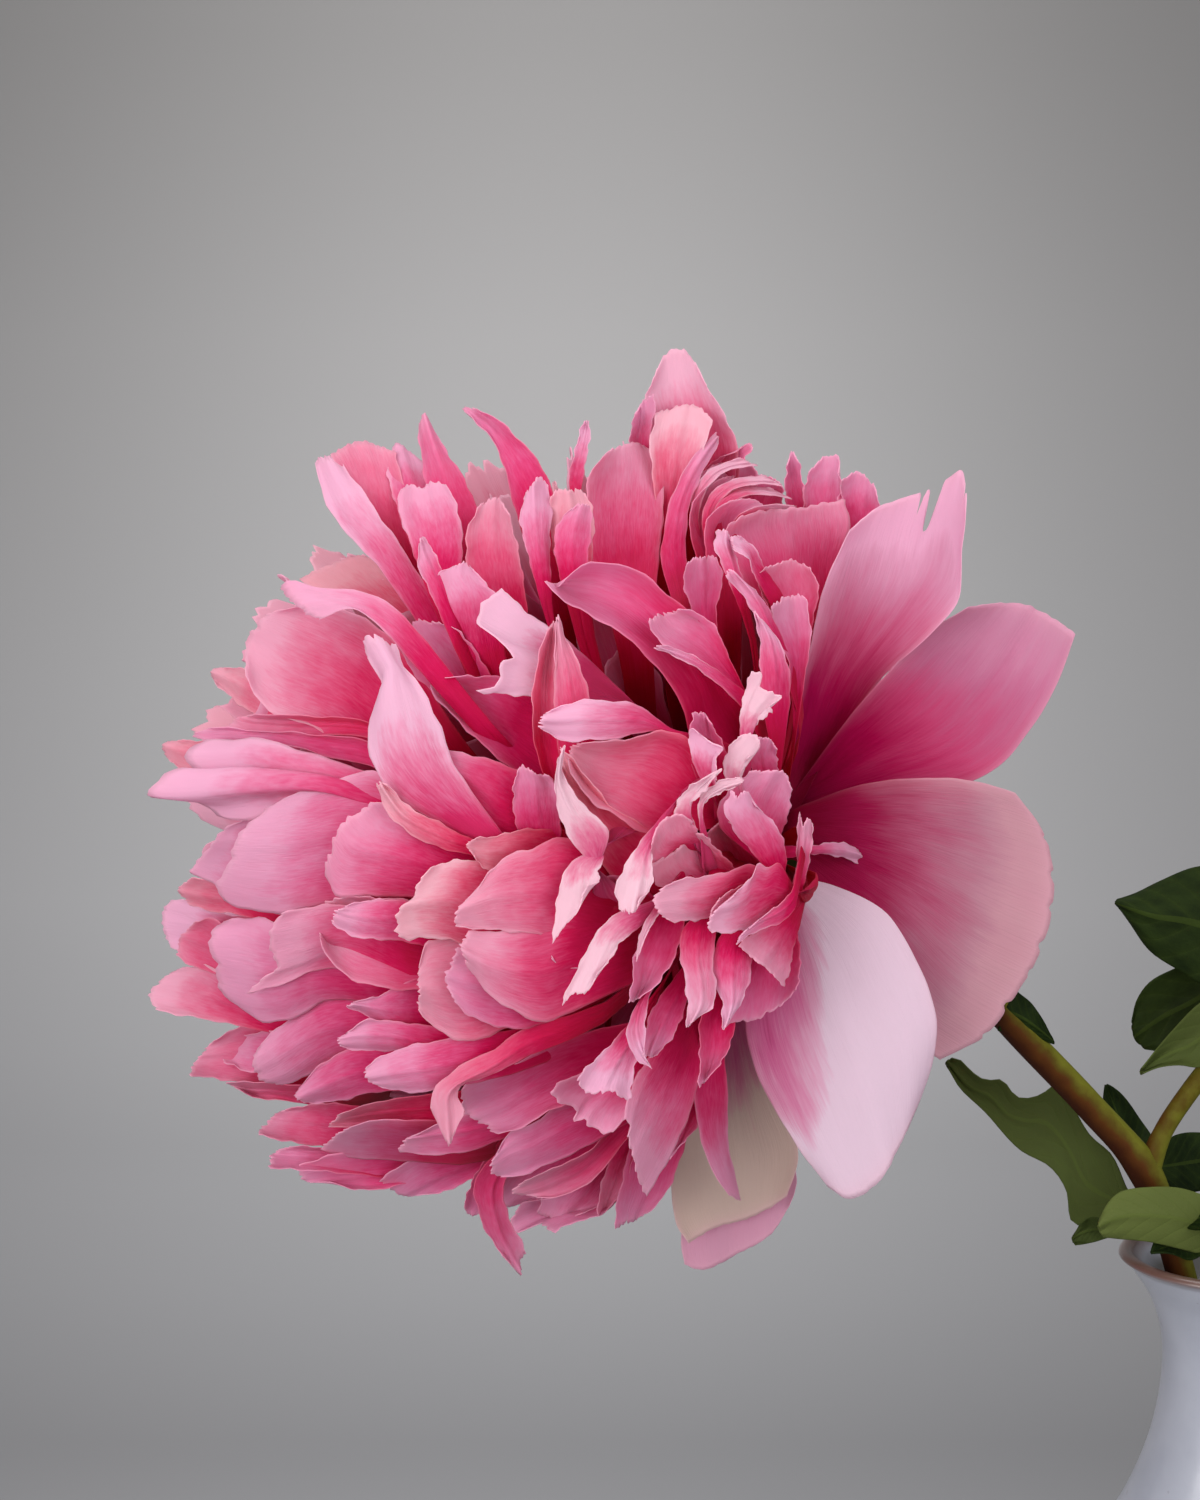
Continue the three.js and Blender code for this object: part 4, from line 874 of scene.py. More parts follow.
def hidden_petals(material):
    """The far side of the ball; near the seam with the front petals its petals stay a little shorter."""
    for piece in FAR_PIECES:
        blades = Blades()
        for index, way in spiral(piece["count"], FAR_REACH):
            if index % piece["every"] != piece["kept"] or way[1] < piece["foremost"]:
                continue
            uneven = 0.95 + 0.1 * seeded(index + piece["draw"])
            seam = 0.87 + 0.13 * min(1, max(0, way[1] * 4.5 + 0.46))
            tip = BALL + way * BALL_RADIUS * (piece["size"] * uneven * seam)
            width = (20 + 8 * seeded(index + 100)) * piece["girth"]
            ball_petal(
                blades, tip, width, cup=40, blunt=0.7 + 0.3 * seeded(index + 200), dice=seeded(index),
                pale=0.3 + 0.6 * seeded(index + 7), warm=0.8 * seeded(index + 13), frill=1.6, widest=0.7,
                ragged=0.04 + 0.08 * seeded(index + 17), notch=0.12 * round(seeded(index + 23)),
                twist=24 * seeded(index + 3) - 12)
        settle(blades.build(piece["name"], material), "petal", "petals")


FILLING_COUNT = 130
FILLING_REACH = 1.5
FILLING_DROP = 13.0               # mm below the ball's skin
FILLING_BACK = 0.2                # none of them points further to the back than this


def filling_petals(material):
    """Shorter petals inside the front ones, so that no gap looks through the ball."""
    blades = Blades()
    for index, way in spiral(FILLING_COUNT, FILLING_REACH):
        if way[1] > FILLING_BACK:
            continue
        tip = BALL + way * (BALL_RADIUS - FILLING_DROP - 7 * seeded(index + 500))
        width = 14 + 6 * seeded(index + 9)
        ball_petal(blades, tip, width, cup=55, face=0.4, blunt=0.9, dice=seeded(index + 77), frill=0.8,
                   pale=0.3 * seeded(index + 5), warm=0.3 * seeded(index + 6), columns=12, rows=20)
    settle(blades.build("inner_petals", material), "petal", "petals")


def guard_petals(material):
    blades = Blades()
    for number, petal in enumerate(SEEN_GUARDS):
        root = guard_root(crown_place(petal), GUARD_FORWARD)
        seen_petal(blades, petal, number + 900, root, columns=90, rows=48, ragged=0.2, flare=0.6)
    for number, petal in enumerate(HIDDEN_GUARDS):
        tip = BASE + np.array(petal["tip"], float)
        dice = seeded(number + 950)
        sheet, across, along, length = petal_sheet(
            guard_root(tip, -GUARD_FORWARD), tip, HIDDEN_GUARD_FACE, petal["width"], bow=-petal["bulge"],
            claw=0.35, cup=20, blunt=0.8, dice=dice, columns=36, rows=48)
        blades.add(sheet, across, along, petal["width"], length, PETAL_THICKNESS, dice, pale=0.4, warm=0.3)
    settle(blades.build("guard_petals", material), "petal", "petals")


def receptacle(material):
    """The core that the ball's petals grow on."""
    core = turned("receptacle", [(0, -2), (7, -2), (9, 1), (CORE_RADIUS, 12), (CORE_RADIUS, 30), (8, 50),
                                 (0, CORE_LENGTH)], material, 32)
    place_on_axis(core)
    settle(core, "petal", "petals")


# ---- Stem, stalk and leaves ----
STEM_ROUTE = [
    (8, 0, 6.7), (0.2, 0, 75), (-7.6, 0, 140), (-12.2, 0, 160), (-18.9, 0, 177), (-30, -1, 190),
    (-45.6, -4, 206.5), (-58, -8, 221), (-68, -8, 233), BASE - AXIS * (STEM_TOP + 6), BASE - AXIS * STEM_TOP,
]
SIDE_STALK_ROUTE = [(-18.4, 0, 175), (-15, 1, 184), (-9, 2, 193), (-1, 3, 203), (6, 4, 213)]


def rod(name, route, radius_at, material, sides):
    """A closed round rod along a route; radius_at takes 0 to 1 along it."""
    ways = units(np.gradient(route, axis=0))
    first = units(np.cross(ways, (0.0, 1.0, 0.0)))
    second = np.cross(ways, first)
    angles = np.linspace(0, FULL_TURN, sides, endpoint=False)
    count = len(route)
    radii = np.array([radius_at(index / (count - 1)) for index in range(count)])
    ring = first[:, None] * np.cos(angles)[None, :, None] + second[:, None] * np.sin(angles)[None, :, None]
    vertices = (route[:, None] + ring * radii[:, None, None]).reshape(-1, 3) * MM
    faces = []
    for row in range(count - 1):
        for side in range(sides):
            a, b = row * sides + side, row * sides + (side + 1) % sides
            faces.append((a, a + sides, b + sides, b))
    faces.append(tuple(range(sides)))
    faces.append(tuple(reversed(range((count - 1) * sides, count * sides))))
    return smooth_solid(name, vertices.tolist(), faces, material)


def stem_radius(t):
    """Tapers a little, with a swelling at the fork."""
    return STEM_RADIUS * (1.0 + 0.14 * math.exp(-((t - 0.4) / 0.03) ** 2) - 0.06 * t)


def side_stalk_radius(t):
    """Thicker where it leaves the stem."""
    return SIDE_STALK_RADIUS * (1.35 - 0.35 * min(1, 4 * t))


def stem_pieces(material, stalk_material):
    main = rod("flower_stem", smooth_route(STEM_ROUTE, 14), stem_radius, material, 24)
    settle(main, "stem", "stem")
    side = rod("side_stalk", smooth_route(SIDE_STALK_ROUTE, 10), side_stalk_radius, stalk_material, 16)
    settle(side, "stem", "stem")


def leaf_sheet(root, tip, up, width, fold=0.25, droop=4.0, wave=0.8):
    """A leaf blade folded along its midrib and pointed at the tip; wave lifts its edges."""
    root, tip = np.array(root, float), np.array(tip, float)
    length = np.linalg.norm(tip - root)
    along_way = (tip - root) / length
    face = unit(np.array(up, float) - along_way * np.dot(up, along_way))
    side = np.cross(along_way, face)
    across, t = np.meshgrid(np.linspace(-1, 1, 21), np.linspace(0, 1, 41))
    half = width / 2 * (0.04 + 0.96 * np.sin(math.pi * t ** 0.8) ** 0.8)
    edge = np.abs(across)
    lift = (fold * half * np.sqrt(edge ** 2 + 0.02) + droop * np.sin(math.pi * t)
            + wave * edge * np.sin(t * 9)
            + 0.12 * np.sin(FULL_TURN * (9 * t - 2.2 * edge)) * edge * (1 - edge))
    sheet = (root + along_way * (length * t)[..., None] + side * (half * across)[..., None]
             + face * lift[..., None])
    return sheet, across, t, length


# Leaf blades that the picture shows, by the node that each replaces; deep is as for the guard petals, and
# root is where the blade grows, in mm. pale is partly a paler green and partly painted light.
SEEN_LEAVES = {
    "bract_leaf": [
        seen("bract", None, [(1053, 1044), (1030, 1036), (1012, 1032)],
            [(998, 1031), (1003, 1012), (1011, 1000), (1018, 992)],
            [(1051, 1036), (1043, 1020), (1031, 1003)], pale=0.0, cup=-1.5, deep=(25, 27),
            root=(-40.5, -3.6, 206.7)),
    ],
    "lobed_leaf": [
        seen("lobed", None,
            [(1112, 1216), (1090, 1226), (1072, 1222), (1066, 1190), (1050, 1167), (1020, 1150), (985, 1112),
             (960, 1088)], [(949, 1069), (946, 1062), (952, 1058)],
            [(1126, 1186), (1112, 1155), (1090, 1135), (1075, 1110), (1068, 1098), (1056, 1085),
             (1040, 1095), (1020, 1098), (1010, 1090), (1003, 1080), (985, 1080), (972, 1072), (960, 1060)],
            pale=0.6, cup=1.5, deep=(16, 3), root=(-15.5, 4.2, 167)),
    ],
    "front_leaf": [
        seen("front", None, [(1208, 1256), (1150, 1242), (1122, 1239)],
            [(1103, 1237), (1098, 1228), (1101, 1216)],
            [(1212, 1198), (1180, 1188), (1150, 1187), (1120, 1192), (1108, 1203)], pale=1.0, cup=-3,
            deep=(27, 33), root=(-9, -6, 167)),
        seen("folded_tip", None, [(1108, 1238), (1090, 1243)], [(1075, 1245), (1072, 1240), (1077, 1231)],
            [(1106, 1220), (1091, 1217), (1081, 1223)], cup=1, deep=(29, 30), root=(-10, -6, 167)),
    ],
    "side_leaf": [
        seen("upper", None, [(1264, 932), (1242, 975), (1205, 985), (1180, 971), (1150, 951), (1130, 923)],
            [(1118, 906), (1115, 902), (1119, 899)],
            [(1260, 905), (1242, 872), (1200, 866), (1160, 881), (1136, 893)], pale=0.05, cup=-4,
            deep=(17, 21), root=(5.5, 5, 232)),
        seen("middle", None, [(1266, 978), (1232, 1018), (1195, 1042), (1165, 1051)],
            [(1145, 1049), (1134, 1038), (1132, 1020)],
            [(1260, 955), (1215, 948), (1180, 966), (1150, 982), (1137, 1000)], pale=0.1, cup=2,
            deep=(13, 9), root=(6.5, 5, 219)),
        seen("lower", None, [(1262, 1012), (1232, 1050), (1200, 1067), (1180, 1065), (1160, 1067)],
            [(1143, 1073), (1140, 1074), (1142, 1068)],
            [(1258, 985), (1232, 985), (1200, 1003), (1175, 1028), (1156, 1050)], pale=0.6, cup=2,
            deep=(19, 24), root=(7, 4, 216)),
    ],
}
# The other blades: root and tip in mm.
LEAVES = {
    "front_leaf": [
        dict(root=(-12, -6.5, 167.5), tip=(18, -15, 172), up=(0, -0.5, 0.85), width=16),
    ],
    "fork_leaf": [
        dict(root=(-17, 4, 176), tip=(-24, 13, 191), up=(0.2, -0.9, 0.2), width=9, droop=-2, fold=0.1),
        dict(root=(-17, 4, 176), tip=(8, 14, 177), up=(0, -0.9, 0.3), width=12, droop=-2, fold=0.1),
    ],
    "mouth_leaf": [
        dict(root=(-9, -0.8, 162), tip=(15, -9, 163.6), up=(0, -0.2, 1), width=10, droop=1.5),
        dict(root=(-8, -1, 162), tip=(-19, -9, 162.5), up=(0, -0.6, 0.8), width=9, droop=1.0),
    ],
    "side_leaf": [
        dict(root=(6.6, 4.2, 214), tip=(4, 6, 246), up=(-0.5, -0.8, 0), width=3, fold=0.5, droop=0, wave=0),
        dict(root=(5, 5, 240), tip=(8, 12, 276), up=(-0.3, -0.9, 0.2), width=19),
        dict(root=(4, 5, 234), tip=(38, 8, 244), up=(0, -0.6, 0.8), width=17),
        dict(root=(5, 5, 220), tip=(34, 10, 212), up=(0, -0.5, 0.85), width=15),
    ],
}


def leaf_pieces(material):
    for name in ("bract_leaf", "lobed_leaf", "front_leaf", "fork_leaf", "mouth_leaf", "side_leaf"):
        blades = Blades()
        for number, leaf in enumerate(SEEN_LEAVES.get(name, [])):
            seen_petal(blades, leaf, number + 70, np.array(leaf["root"], float), ragged=0.0, flare=0.0,
                       claw_width=LEAF_CLAW, thickness=LEAF_THICKNESS)
        for number, leaflet in enumerate(LEAVES.get(name, [])):
            sheet, across, along, length = leaf_sheet(**leaflet)
            blades.add(sheet, across, along, leaflet["width"], length, LEAF_THICKNESS, seeded(number + 60))
        settle(blades.build(name + "_blades", material), "leaf", name)


def calyx_piece(material):
    blades = Blades()
    for index in range(SEPAL_COUNT):
        angle = (index + 0.5) * FULL_TURN / SEPAL_COUNT
        outward = UPWARD * math.sin(angle) + FORWARD * math.cos(angle)
        root = BASE - AXIS * 4.4 + outward * 4.4
        tip = BASE - AXIS * (20 + 3 * (index % 2)) + outward * 10.5
        dice = seeded(index + 31)
        sheet, across, along, length = petal_sheet(
            root, tip, AXIS, SEPAL_WIDTH, bow=1, curl=2, cup=50, blunt=0.4, claw=0.6, dice=dice, frill=0.2)
        blades.add(sheet, across, along, SEPAL_WIDTH, length, LEAF_THICKNESS, dice)
    settle(blades.build("sepals", material), "sepal", "calyx")
    disc = turned("calyx_disc", [(0, -6.3), (3.8, -6.3), (4.7, -3.8), (4.4, -2.3), (0, -2.3)], material, 24)
    place_on_axis(disc)
    settle(disc, "sepal", "calyx")


# ---- Turned pieces ----
def turned(name, profile, material, segments=128):
    """A body of revolution round Z from (radius, height) points in mm that start and end on the axis."""
    angles = np.linspace(0, FULL_TURN, segments, endpoint=False)
    inner = profile[1:-1]
    vertices = [(0, 0, profile[0][1]), (0, 0, profile[-1][1])]
    for radius, height in inner:
        vertices += [(radius * math.cos(angle), radius * math.sin(angle), height) for angle in angles]
    last = 2 + (len(inner) - 1) * segments
    faces = []
    for side in range(segments):
        after = (side + 1) % segments
        faces.append((0, 2 + after, 2 + side))
        faces.append((1, last + side, last + after))
        for low in range(2, last, segments):
            high = low + segments
            faces.append((low + side, low + after, high + after, high + side))
    return smooth_solid(name, (np.array(vertices) * MM).tolist(), faces, material)


def place_on_axis(piece):
    """Moves a turned piece's vertices from Z onto the bloom's axis, at its base."""
    for vertex in piece.data.vertices:
        x, y, z = vertex.co
        vertex.co = BASE * MM + FORWARD * x + UPWARD * y + AXIS * z


VASE_OUTLINE = [
    (FOOT_RADIUS, 0), (33.5, 18), (BODY_RADIUS, BODY_LEVEL), (34.5, 77), (28.5, 95), (20.8, 109),
    (15.6, 124), (NECK_RADIUS, NECK_LEVEL), (16.4, 150), (MOUTH_RADIUS, VASE_HEIGHT),
]


def vase_piece(material):
    route = smooth_route([(radius, height, 0) for radius, height in VASE_OUTLINE], 10)
    outside = [(x, y) for x, y, _ in route if 2 < y < VASE_HEIGHT - LIP_DROP]
    inside = [(x - VASE_WALL, y) for x, y in outside if y > FLOOR_THICKNESS + 6][::-1]
    middle, half = MOUTH_RADIUS - VASE_WALL / 2, VASE_WALL / 2
    lip = [(middle + half * math.sin(turn), VASE_HEIGHT - LIP_DROP + LIP_DROP * math.cos(turn))
           for turn in np.linspace(math.pi / 2, -math.pi / 2, 13)]
    foot = [(0, 0), (FOOT_RADIUS - 1.5, 0), (FOOT_RADIUS - 0.4, 0.5), (FOOT_RADIUS + 0.3, 1.5)]
    floor = [(FOOT_RADIUS + 1, FLOOR_THICKNESS + 3), (FOOT_RADIUS - 3, FLOOR_THICKNESS)]
    floor.append((0, FLOOR_THICKNESS))
    settle(turned("vase_body", foot + outside + lip + inside + floor, material), "glaze", "vase")


# ---- Materials ----
class Nodes:
    """A material under construction: each method adds a node and returns its output."""

    def __init__(self, name):
        self.material = bpy.data.materials.new(name)
        self.material.use_nodes = True
        self.tree = self.material.node_tree
        self.tree.nodes.clear()

    def node(self, kind, inputs=None, **settings):
        made = self.tree.nodes.new(kind)
        for key, value in settings.items():
            setattr(made, key, value)
        for key, value in (inputs or {}).items():
            socket = made.inputs[key]
            if isinstance(value, bpy.types.NodeSocket):
                self.tree.links.new(value, socket)
            else:
                socket.default_value = value
        return made

    def math(self, operation, first, second=0.0, third=0.0):
        return self.node("ShaderNodeMath", {0: first, 1: second, 2: third}, operation=operation).outputs[0]

    def plus(self, first, second):
        return self.math("ADD", first, second)

    def minus(self, first, second):
        return self.math("SUBTRACT", first, second)

    def times(self, first, second):
        return self.math("MULTIPLY", first, second)

    def power(self, value, exponent):
        return self.math("POWER", value, exponent)

    def larger(self, first, second):
        return self.math("MAXIMUM", first, second)

    def smaller(self, first, second):
        return self.math("MINIMUM", first, second)

    def blend(self, factor, first, second):
        """From the first colour to the second; a plain colour is three numbers."""
        first, second = [(*colour, 1) if isinstance(colour, tuple) else colour for colour in (first, second)]
        return self.node("ShaderNodeMix", {0: factor, 6: first, 7: second}, data_type="RGBA").outputs[2]

    def ramp(self, factor, stops):
        made = self.node("ShaderNodeValToRGB", {0: factor})
        elements = made.color_ramp.elements
        while len(elements) < len(stops):
            elements.new(0.5)
        for element, (position, colour) in zip(elements, stops):
            element.position = position
            element.color = (*colour, 1)
        return made.outputs[0]

    def attribute(self, name):
        return self.node("ShaderNodeAttribute", attribute_name=name).outputs["Vector"]

    def place(self):
        return self.node("ShaderNodeTexCoord").outputs["Object"]

    def noise(self, vector, scale, detail):
        inputs = {"Vector": vector, "Scale": scale, "Detail": detail, "Roughness": 0.55}
        return self.node("ShaderNodeTexNoise", inputs).outputs["Fac"]

    def stretched_noise(self, vector, factors, detail=2.0):
        scaled = self.node("ShaderNodeVectorMath", {0: vector, 1: factors}, operation="MULTIPLY").outputs[0]
        return self.noise(scaled, 1.0, detail)

    def between(self, value, low, high):
        """0 at low, 1 at high, and even between them."""
        return self.node("ShaderNodeMapRange", {"Value": value, 1: low, 2: high}).outputs[0]

    def parts(self, vector):
        return self.node("ShaderNodeSeparateXYZ", {0: vector}).outputs

    def bump(self, height, strength, distance):
        inputs = {"Height": height, "Strength": strength, "Distance": distance}
        return self.node("ShaderNodeBump", inputs).outputs[0]

    def surface(self, colour, inputs):
        return self.node("ShaderNodeBsdfPrincipled", {"Base Color": colour, **inputs}).outputs[0]

    def finish(self, shader):
        self.node("ShaderNodeOutputMaterial", {"Surface": shader})
        return self.material

    def finish_thin(self, shader, share, colour, normal):
        """A blade's material: the shader mixed with the share of light that comes through."""
        through = self.node("ShaderNodeBsdfTranslucent", {"Color": colour, "Normal": normal}).outputs[0]
        return self.finish(self.node("ShaderNodeMixShader", {0: share, 1: shader, 2: through}).outputs[0])


# A petal's colours from claw to tip: position and colour. Its warmth mixes the cool and the warm run. The
# deep colours at the claw are partly the petal's own and partly painted shade where petals overlap.
BALL_COOL = [
    (0.2, (0.54, 0.0, 0.035)), (0.48, (0.70, 0.006, 0.115)), (0.68, (0.77, 0.055, 0.235)),
    (0.86, (0.79, 0.16, 0.38)), (1.0, (0.81, 0.29, 0.51)),
]
BALL_WARM = [
    (0.2, (0.55, 0.0, 0.02)), (0.48, (0.73, 0.018, 0.08)), (0.68, (0.80, 0.09, 0.165)),
    (0.86, (0.82, 0.22, 0.28)), (1.0, (0.84, 0.36, 0.41)),
]
# The guard runs are darker than the ball's, partly their own duskier colour and partly painted shade.
GUARD_COOL = [
    (0.3, (0.36, 0.0, 0.045)), (0.48, (0.56, 0.002, 0.11)), (0.66, (0.66, 0.055, 0.21)),
    (0.84, (0.58, 0.12, 0.28)), (1.0, (0.57, 0.20, 0.34)),
]
GUARD_WARM = [
    (0.3, (0.36, 0.0, 0.04)), (0.48, (0.46, 0.01, 0.09)), (0.66, (0.52, 0.13, 0.24)),
    (0.84, (0.46, 0.24, 0.32)), (1.0, (0.45, 0.28, 0.31)),
]
TRANSLUCENT_PETAL = 0.48
TRANSLUCENT_LEAF = 0.18
PALE_COOL = (0.87, 0.51, 0.69)
WHITE_COOL = (0.88, 0.77, 0.86)
PALE_WARM = (0.89, 0.56, 0.54)
WHITE_WARM = (0.90, 0.77, 0.73)
BEIGE = (0.70, 0.56, 0.49)
BLUSH = (0.78, 0.16, 0.42)
PALE_RIM = (0.92, 0.58, 0.68)
LEAF_PALE_AND_PAINTED_LIGHT = (0.12, 0.15, 0.04)
LEAF_VEIN = (0.10, 0.15, 0.02)
GLAZE = [(0.3, (0.25, 0.27, 0.32)), (0.7, (0.34, 0.36, 0.41))]
CLAY_RIM = (0.10, 0.055, 0.045)
PAINTED_MOUTH_SHADE = (0.03, 0.028, 0.02)
GLAZE_SPECK = (0.12, 0.10, 0.10)
CLAY_LEVELS = (0.1572, 0.1592)            # metres above the foot, where the clay starts and is fully bare
MOUTH_LEVELS = (0.1578, 0.1545)           # the same for the painted shade inside the mouth, downwards
WATER = [(0.3, (0.80, 0.88, 0.88)), (0.7, (0.88, 0.94, 0.92))]
# The stalk's colours from the side that faces down and left to the side that faces up and right; the dark
# end is painted shade.
STALK = [(0.1, (0.03, 0.008, 0.003)), (0.45, (0.06, 0.020, 0.004)), (0.62, (0.065, 0.045, 0.005)),
         (0.85, (0.11, 0.11, 0.012))]


def petal_material(name, cool_stops, warm_stops, streaks):
    """Satin petal: deep at the claw, partly as painted shade, paler to the tip and whiter at its edges,
    partly as painted light, with fine streaks along it and a pale rim.
    """
    n = Nodes(name)
    across, along, dice = n.parts(n.attribute("place"))
    grain = n.attribute("grain")
    pale, warm, lean = n.parts(n.attribute("tint"))
    fine = n.stretched_noise(grain, (2.6, 0.2, 1.0), 3.0)
    broad = n.stretched_noise(grain, (0.35, 0.05, 1.0))
    patch = n.stretched_noise(grain, (0.09, 0.06, 1.0))
    fade = along
    for value, share in ((fine, streaks), (broad, 0.16), (patch, 0.25), (dice, 0.12)):
        fade = n.plus(fade, n.times(n.minus(value, 0.5), share))
    fade = n.plus(fade, n.times(across, lean))
    extra_pale = n.larger(n.minus(pale, 1.0), 0.0)
    white = n.smaller(extra_pale, 1.0)
    fade = n.plus(fade, n.times(white, 0.16))
    warmth = n.smaller(n.times(warm, 0.7), 1.0)
    colour = n.blend(warmth, n.ramp(fade, cool_stops), n.ramp(fade, warm_stops))
    side = n.math("ABSOLUTE", across)
    # Whiter towards the edges and tip: partly the petal's own paler edge, partly painted light for a thin
    # edge's glow.
    pale_edge_and_painted_glow = n.larger(n.power(side, 5.0), n.power(along, 9.0))
    start = n.minus(0.5, n.times(extra_pale, 0.1))
    reach = n.plus(n.minus(fade, start), n.times(n.times(pale_edge_and_painted_glow, along), 0.3))
    reach = n.smaller(n.larger(n.times(reach, 2.0), 0.0), 1.0)
    whiteness = n.smaller(n.times(n.power(reach, 1.7), n.times(pale, 1.25)), 1.0)
    bleach = n.blend(warmth, n.blend(white, PALE_COOL, WHITE_COOL), n.blend(white, PALE_WARM, WHITE_WARM))
    bleach = n.blend(n.math("GREATER_THAN", warm, 2.0), bleach, BEIGE)
    blush = n.smaller(n.plus(n.times(whiteness, 3.0), 0.8), 1.0)
    colour = n.blend(n.times(white, blush), colour, BLUSH)
    colour = n.blend(whiteness, colour, bleach)
    rim = n.larger(n.power(side, 22.0), n.power(along, 45.0))
    rim = n.times(rim, n.times(n.times(along, along), 0.4))
    colour = n.blend(rim, colour, PALE_RIM)
    veins = n.stretched_noise(grain, (4.5, 0.12, 1.0))
    normal = n.bump(n.plus(n.times(veins, 0.5), broad), 0.35, 0.0006)
    satin = n.surface(colour, {"Roughness": 0.62, "Specular IOR Level": 0.14, "Sheen Weight": 0.05,
                               "Sheen Roughness": 0.4, "Normal": normal})
    return n.finish_thin(satin, TRANSLUCENT_PETAL, colour, normal)


def leaf_material(name, dark, light):
    """Waxy leaf: a pale midrib and slanting side veins, and on some blades a paler green that is partly
    painted light.
    """
    n = Nodes(name)
    across, along, _ = n.parts(n.attribute("place"))
    grain = n.attribute("grain")
    pale = n.parts(n.attribute("tint"))[0]
    side = n.math("ABSOLUTE", across)
    cloud = n.stretched_noise(grain, (0.25, 0.2, 1.0), 3.0)
    fine = n.stretched_noise(grain, (2.0, 2.0, 1.0))
    colour = n.ramp(n.plus(n.times(cloud, 0.8), n.times(fine, 0.2)), [(0.3, dark), (0.7, light)])
    ribs = n.minus(n.times(along, 9.0), n.times(side, 2.2))
    ribs = n.power(n.math("ABSOLUTE", n.math("SINE", n.times(ribs, math.pi))), 0.35)
    midrib = n.math("LESS_THAN", side, 0.06)
    vein = n.larger(n.times(n.minus(1.0, ribs), 0.55), midrib)
    # A blade's pale tint: partly a paler green, partly painted light on the leaves that catch more light.
    colour = n.blend(n.times(pale, 0.75), colour, LEAF_PALE_AND_PAINTED_LIGHT)
    colour = n.blend(n.times(vein, 0.16), colour, LEAF_VEIN)
    normal = n.bump(n.plus(n.times(vein, -0.8), n.times(fine, 0.3)), 0.5, 0.0005)
    waxy = n.surface(colour, {"Roughness": 0.6, "Specular IOR Level": 0.05, "Normal": normal})
    return n.finish_thin(waxy, TRANSLUCENT_LEAF, colour, normal)


def stem_material(name, greener):
    """Smooth stalk, finely ribbed: red-brown and darker as painted shade where it faces down and left,
    yellow-green elsewhere.
    """
    n = Nodes(name)
    place = n.place()
    # Painted shade: the colour runs darker and red-brown where the surface faces down and left.
    x, _, z = n.parts(n.node("ShaderNodeNewGeometry").outputs["Normal"])
    turn = n.plus(n.times(x, 0.7), n.times(z, 0.7))
    mottle = n.noise(place, 260.0, 3.0)
    colour = n.ramp(n.plus(n.times(turn, 0.5), n.plus(n.times(mottle, 0.5), greener)), STALK)
    normal = n.bump(n.stretched_noise(place, (900, 900, 60)), 0.25, 0.0004)
    return n.finish(n.surface(colour, {"Roughness": 0.55, "Specular IOR Level": 0.05, "Normal": normal}))


def glaze_material():
    """Pale blue-grey glaze, faintly mottled; dark warm clay shows on the rim, and painted shade darkens the
    inside of the mouth.
    """
    n = Nodes("glaze")
    place = n.place()
    mottle = n.noise(place, 60.0, 4.0)
    cloud = n.noise(place, 14.0, 2.0)
    colour = n.ramp(n.plus(n.times(mottle, 0.5), n.times(cloud, 0.5)), GLAZE)
    x, y, height = n.parts(place)
    colour = n.blend(n.between(height, *CLAY_LEVELS), colour, CLAY_RIM)
    # Painted shade: the inner faces below the mouth are darkened almost to the shade colour.
    normal_x, normal_y, _ = n.parts(n.node("ShaderNodeNewGeometry").outputs["True Normal"])
    outward = n.plus(n.times(x, normal_x), n.times(y, normal_y))
    inside = n.times(n.math("LESS_THAN", outward, 0.0), n.between(height, *MOUTH_LEVELS))
    colour = n.blend(n.times(inside, 0.93), colour, PAINTED_MOUTH_SHADE)
    speck = n.math("GREATER_THAN", n.noise(place, 420.0, 1.0), 0.74)
    colour = n.blend(n.times(speck, 0.25), colour, GLAZE_SPECK)
    normal = n.bump(n.plus(mottle, n.noise(place, 220.0, 2.0)), 0.12, 0.0008)
    return n.finish(n.surface(colour, {
        "Roughness": 0.3, "Coat Weight": 0.25, "Coat Roughness": 0.1, "Normal": normal}))


def water_material():
    n = Nodes("water")
    place = n.place()
    normal = n.bump(n.noise(place, 40.0, 2.0), 0.05, 0.0005)
    tint = n.ramp(n.noise(place, 25.0, 2.0), WATER)
    return n.finish(n.surface(tint, {
        "Roughness": 0.03, "IOR": 1.33, "Transmission Weight": 1.0, "Normal": normal}))


# ---- The studio, in metres ----
WALL = 1.7                        # how far behind the vase the backdrop stands
BEND = 1.0                        # radius of the sweep from the floor to the wall
SWEEP_HALF_WIDTH = 4.0
SWEEP_FRONT = -4.0
SWEEP_TOP = 5.0
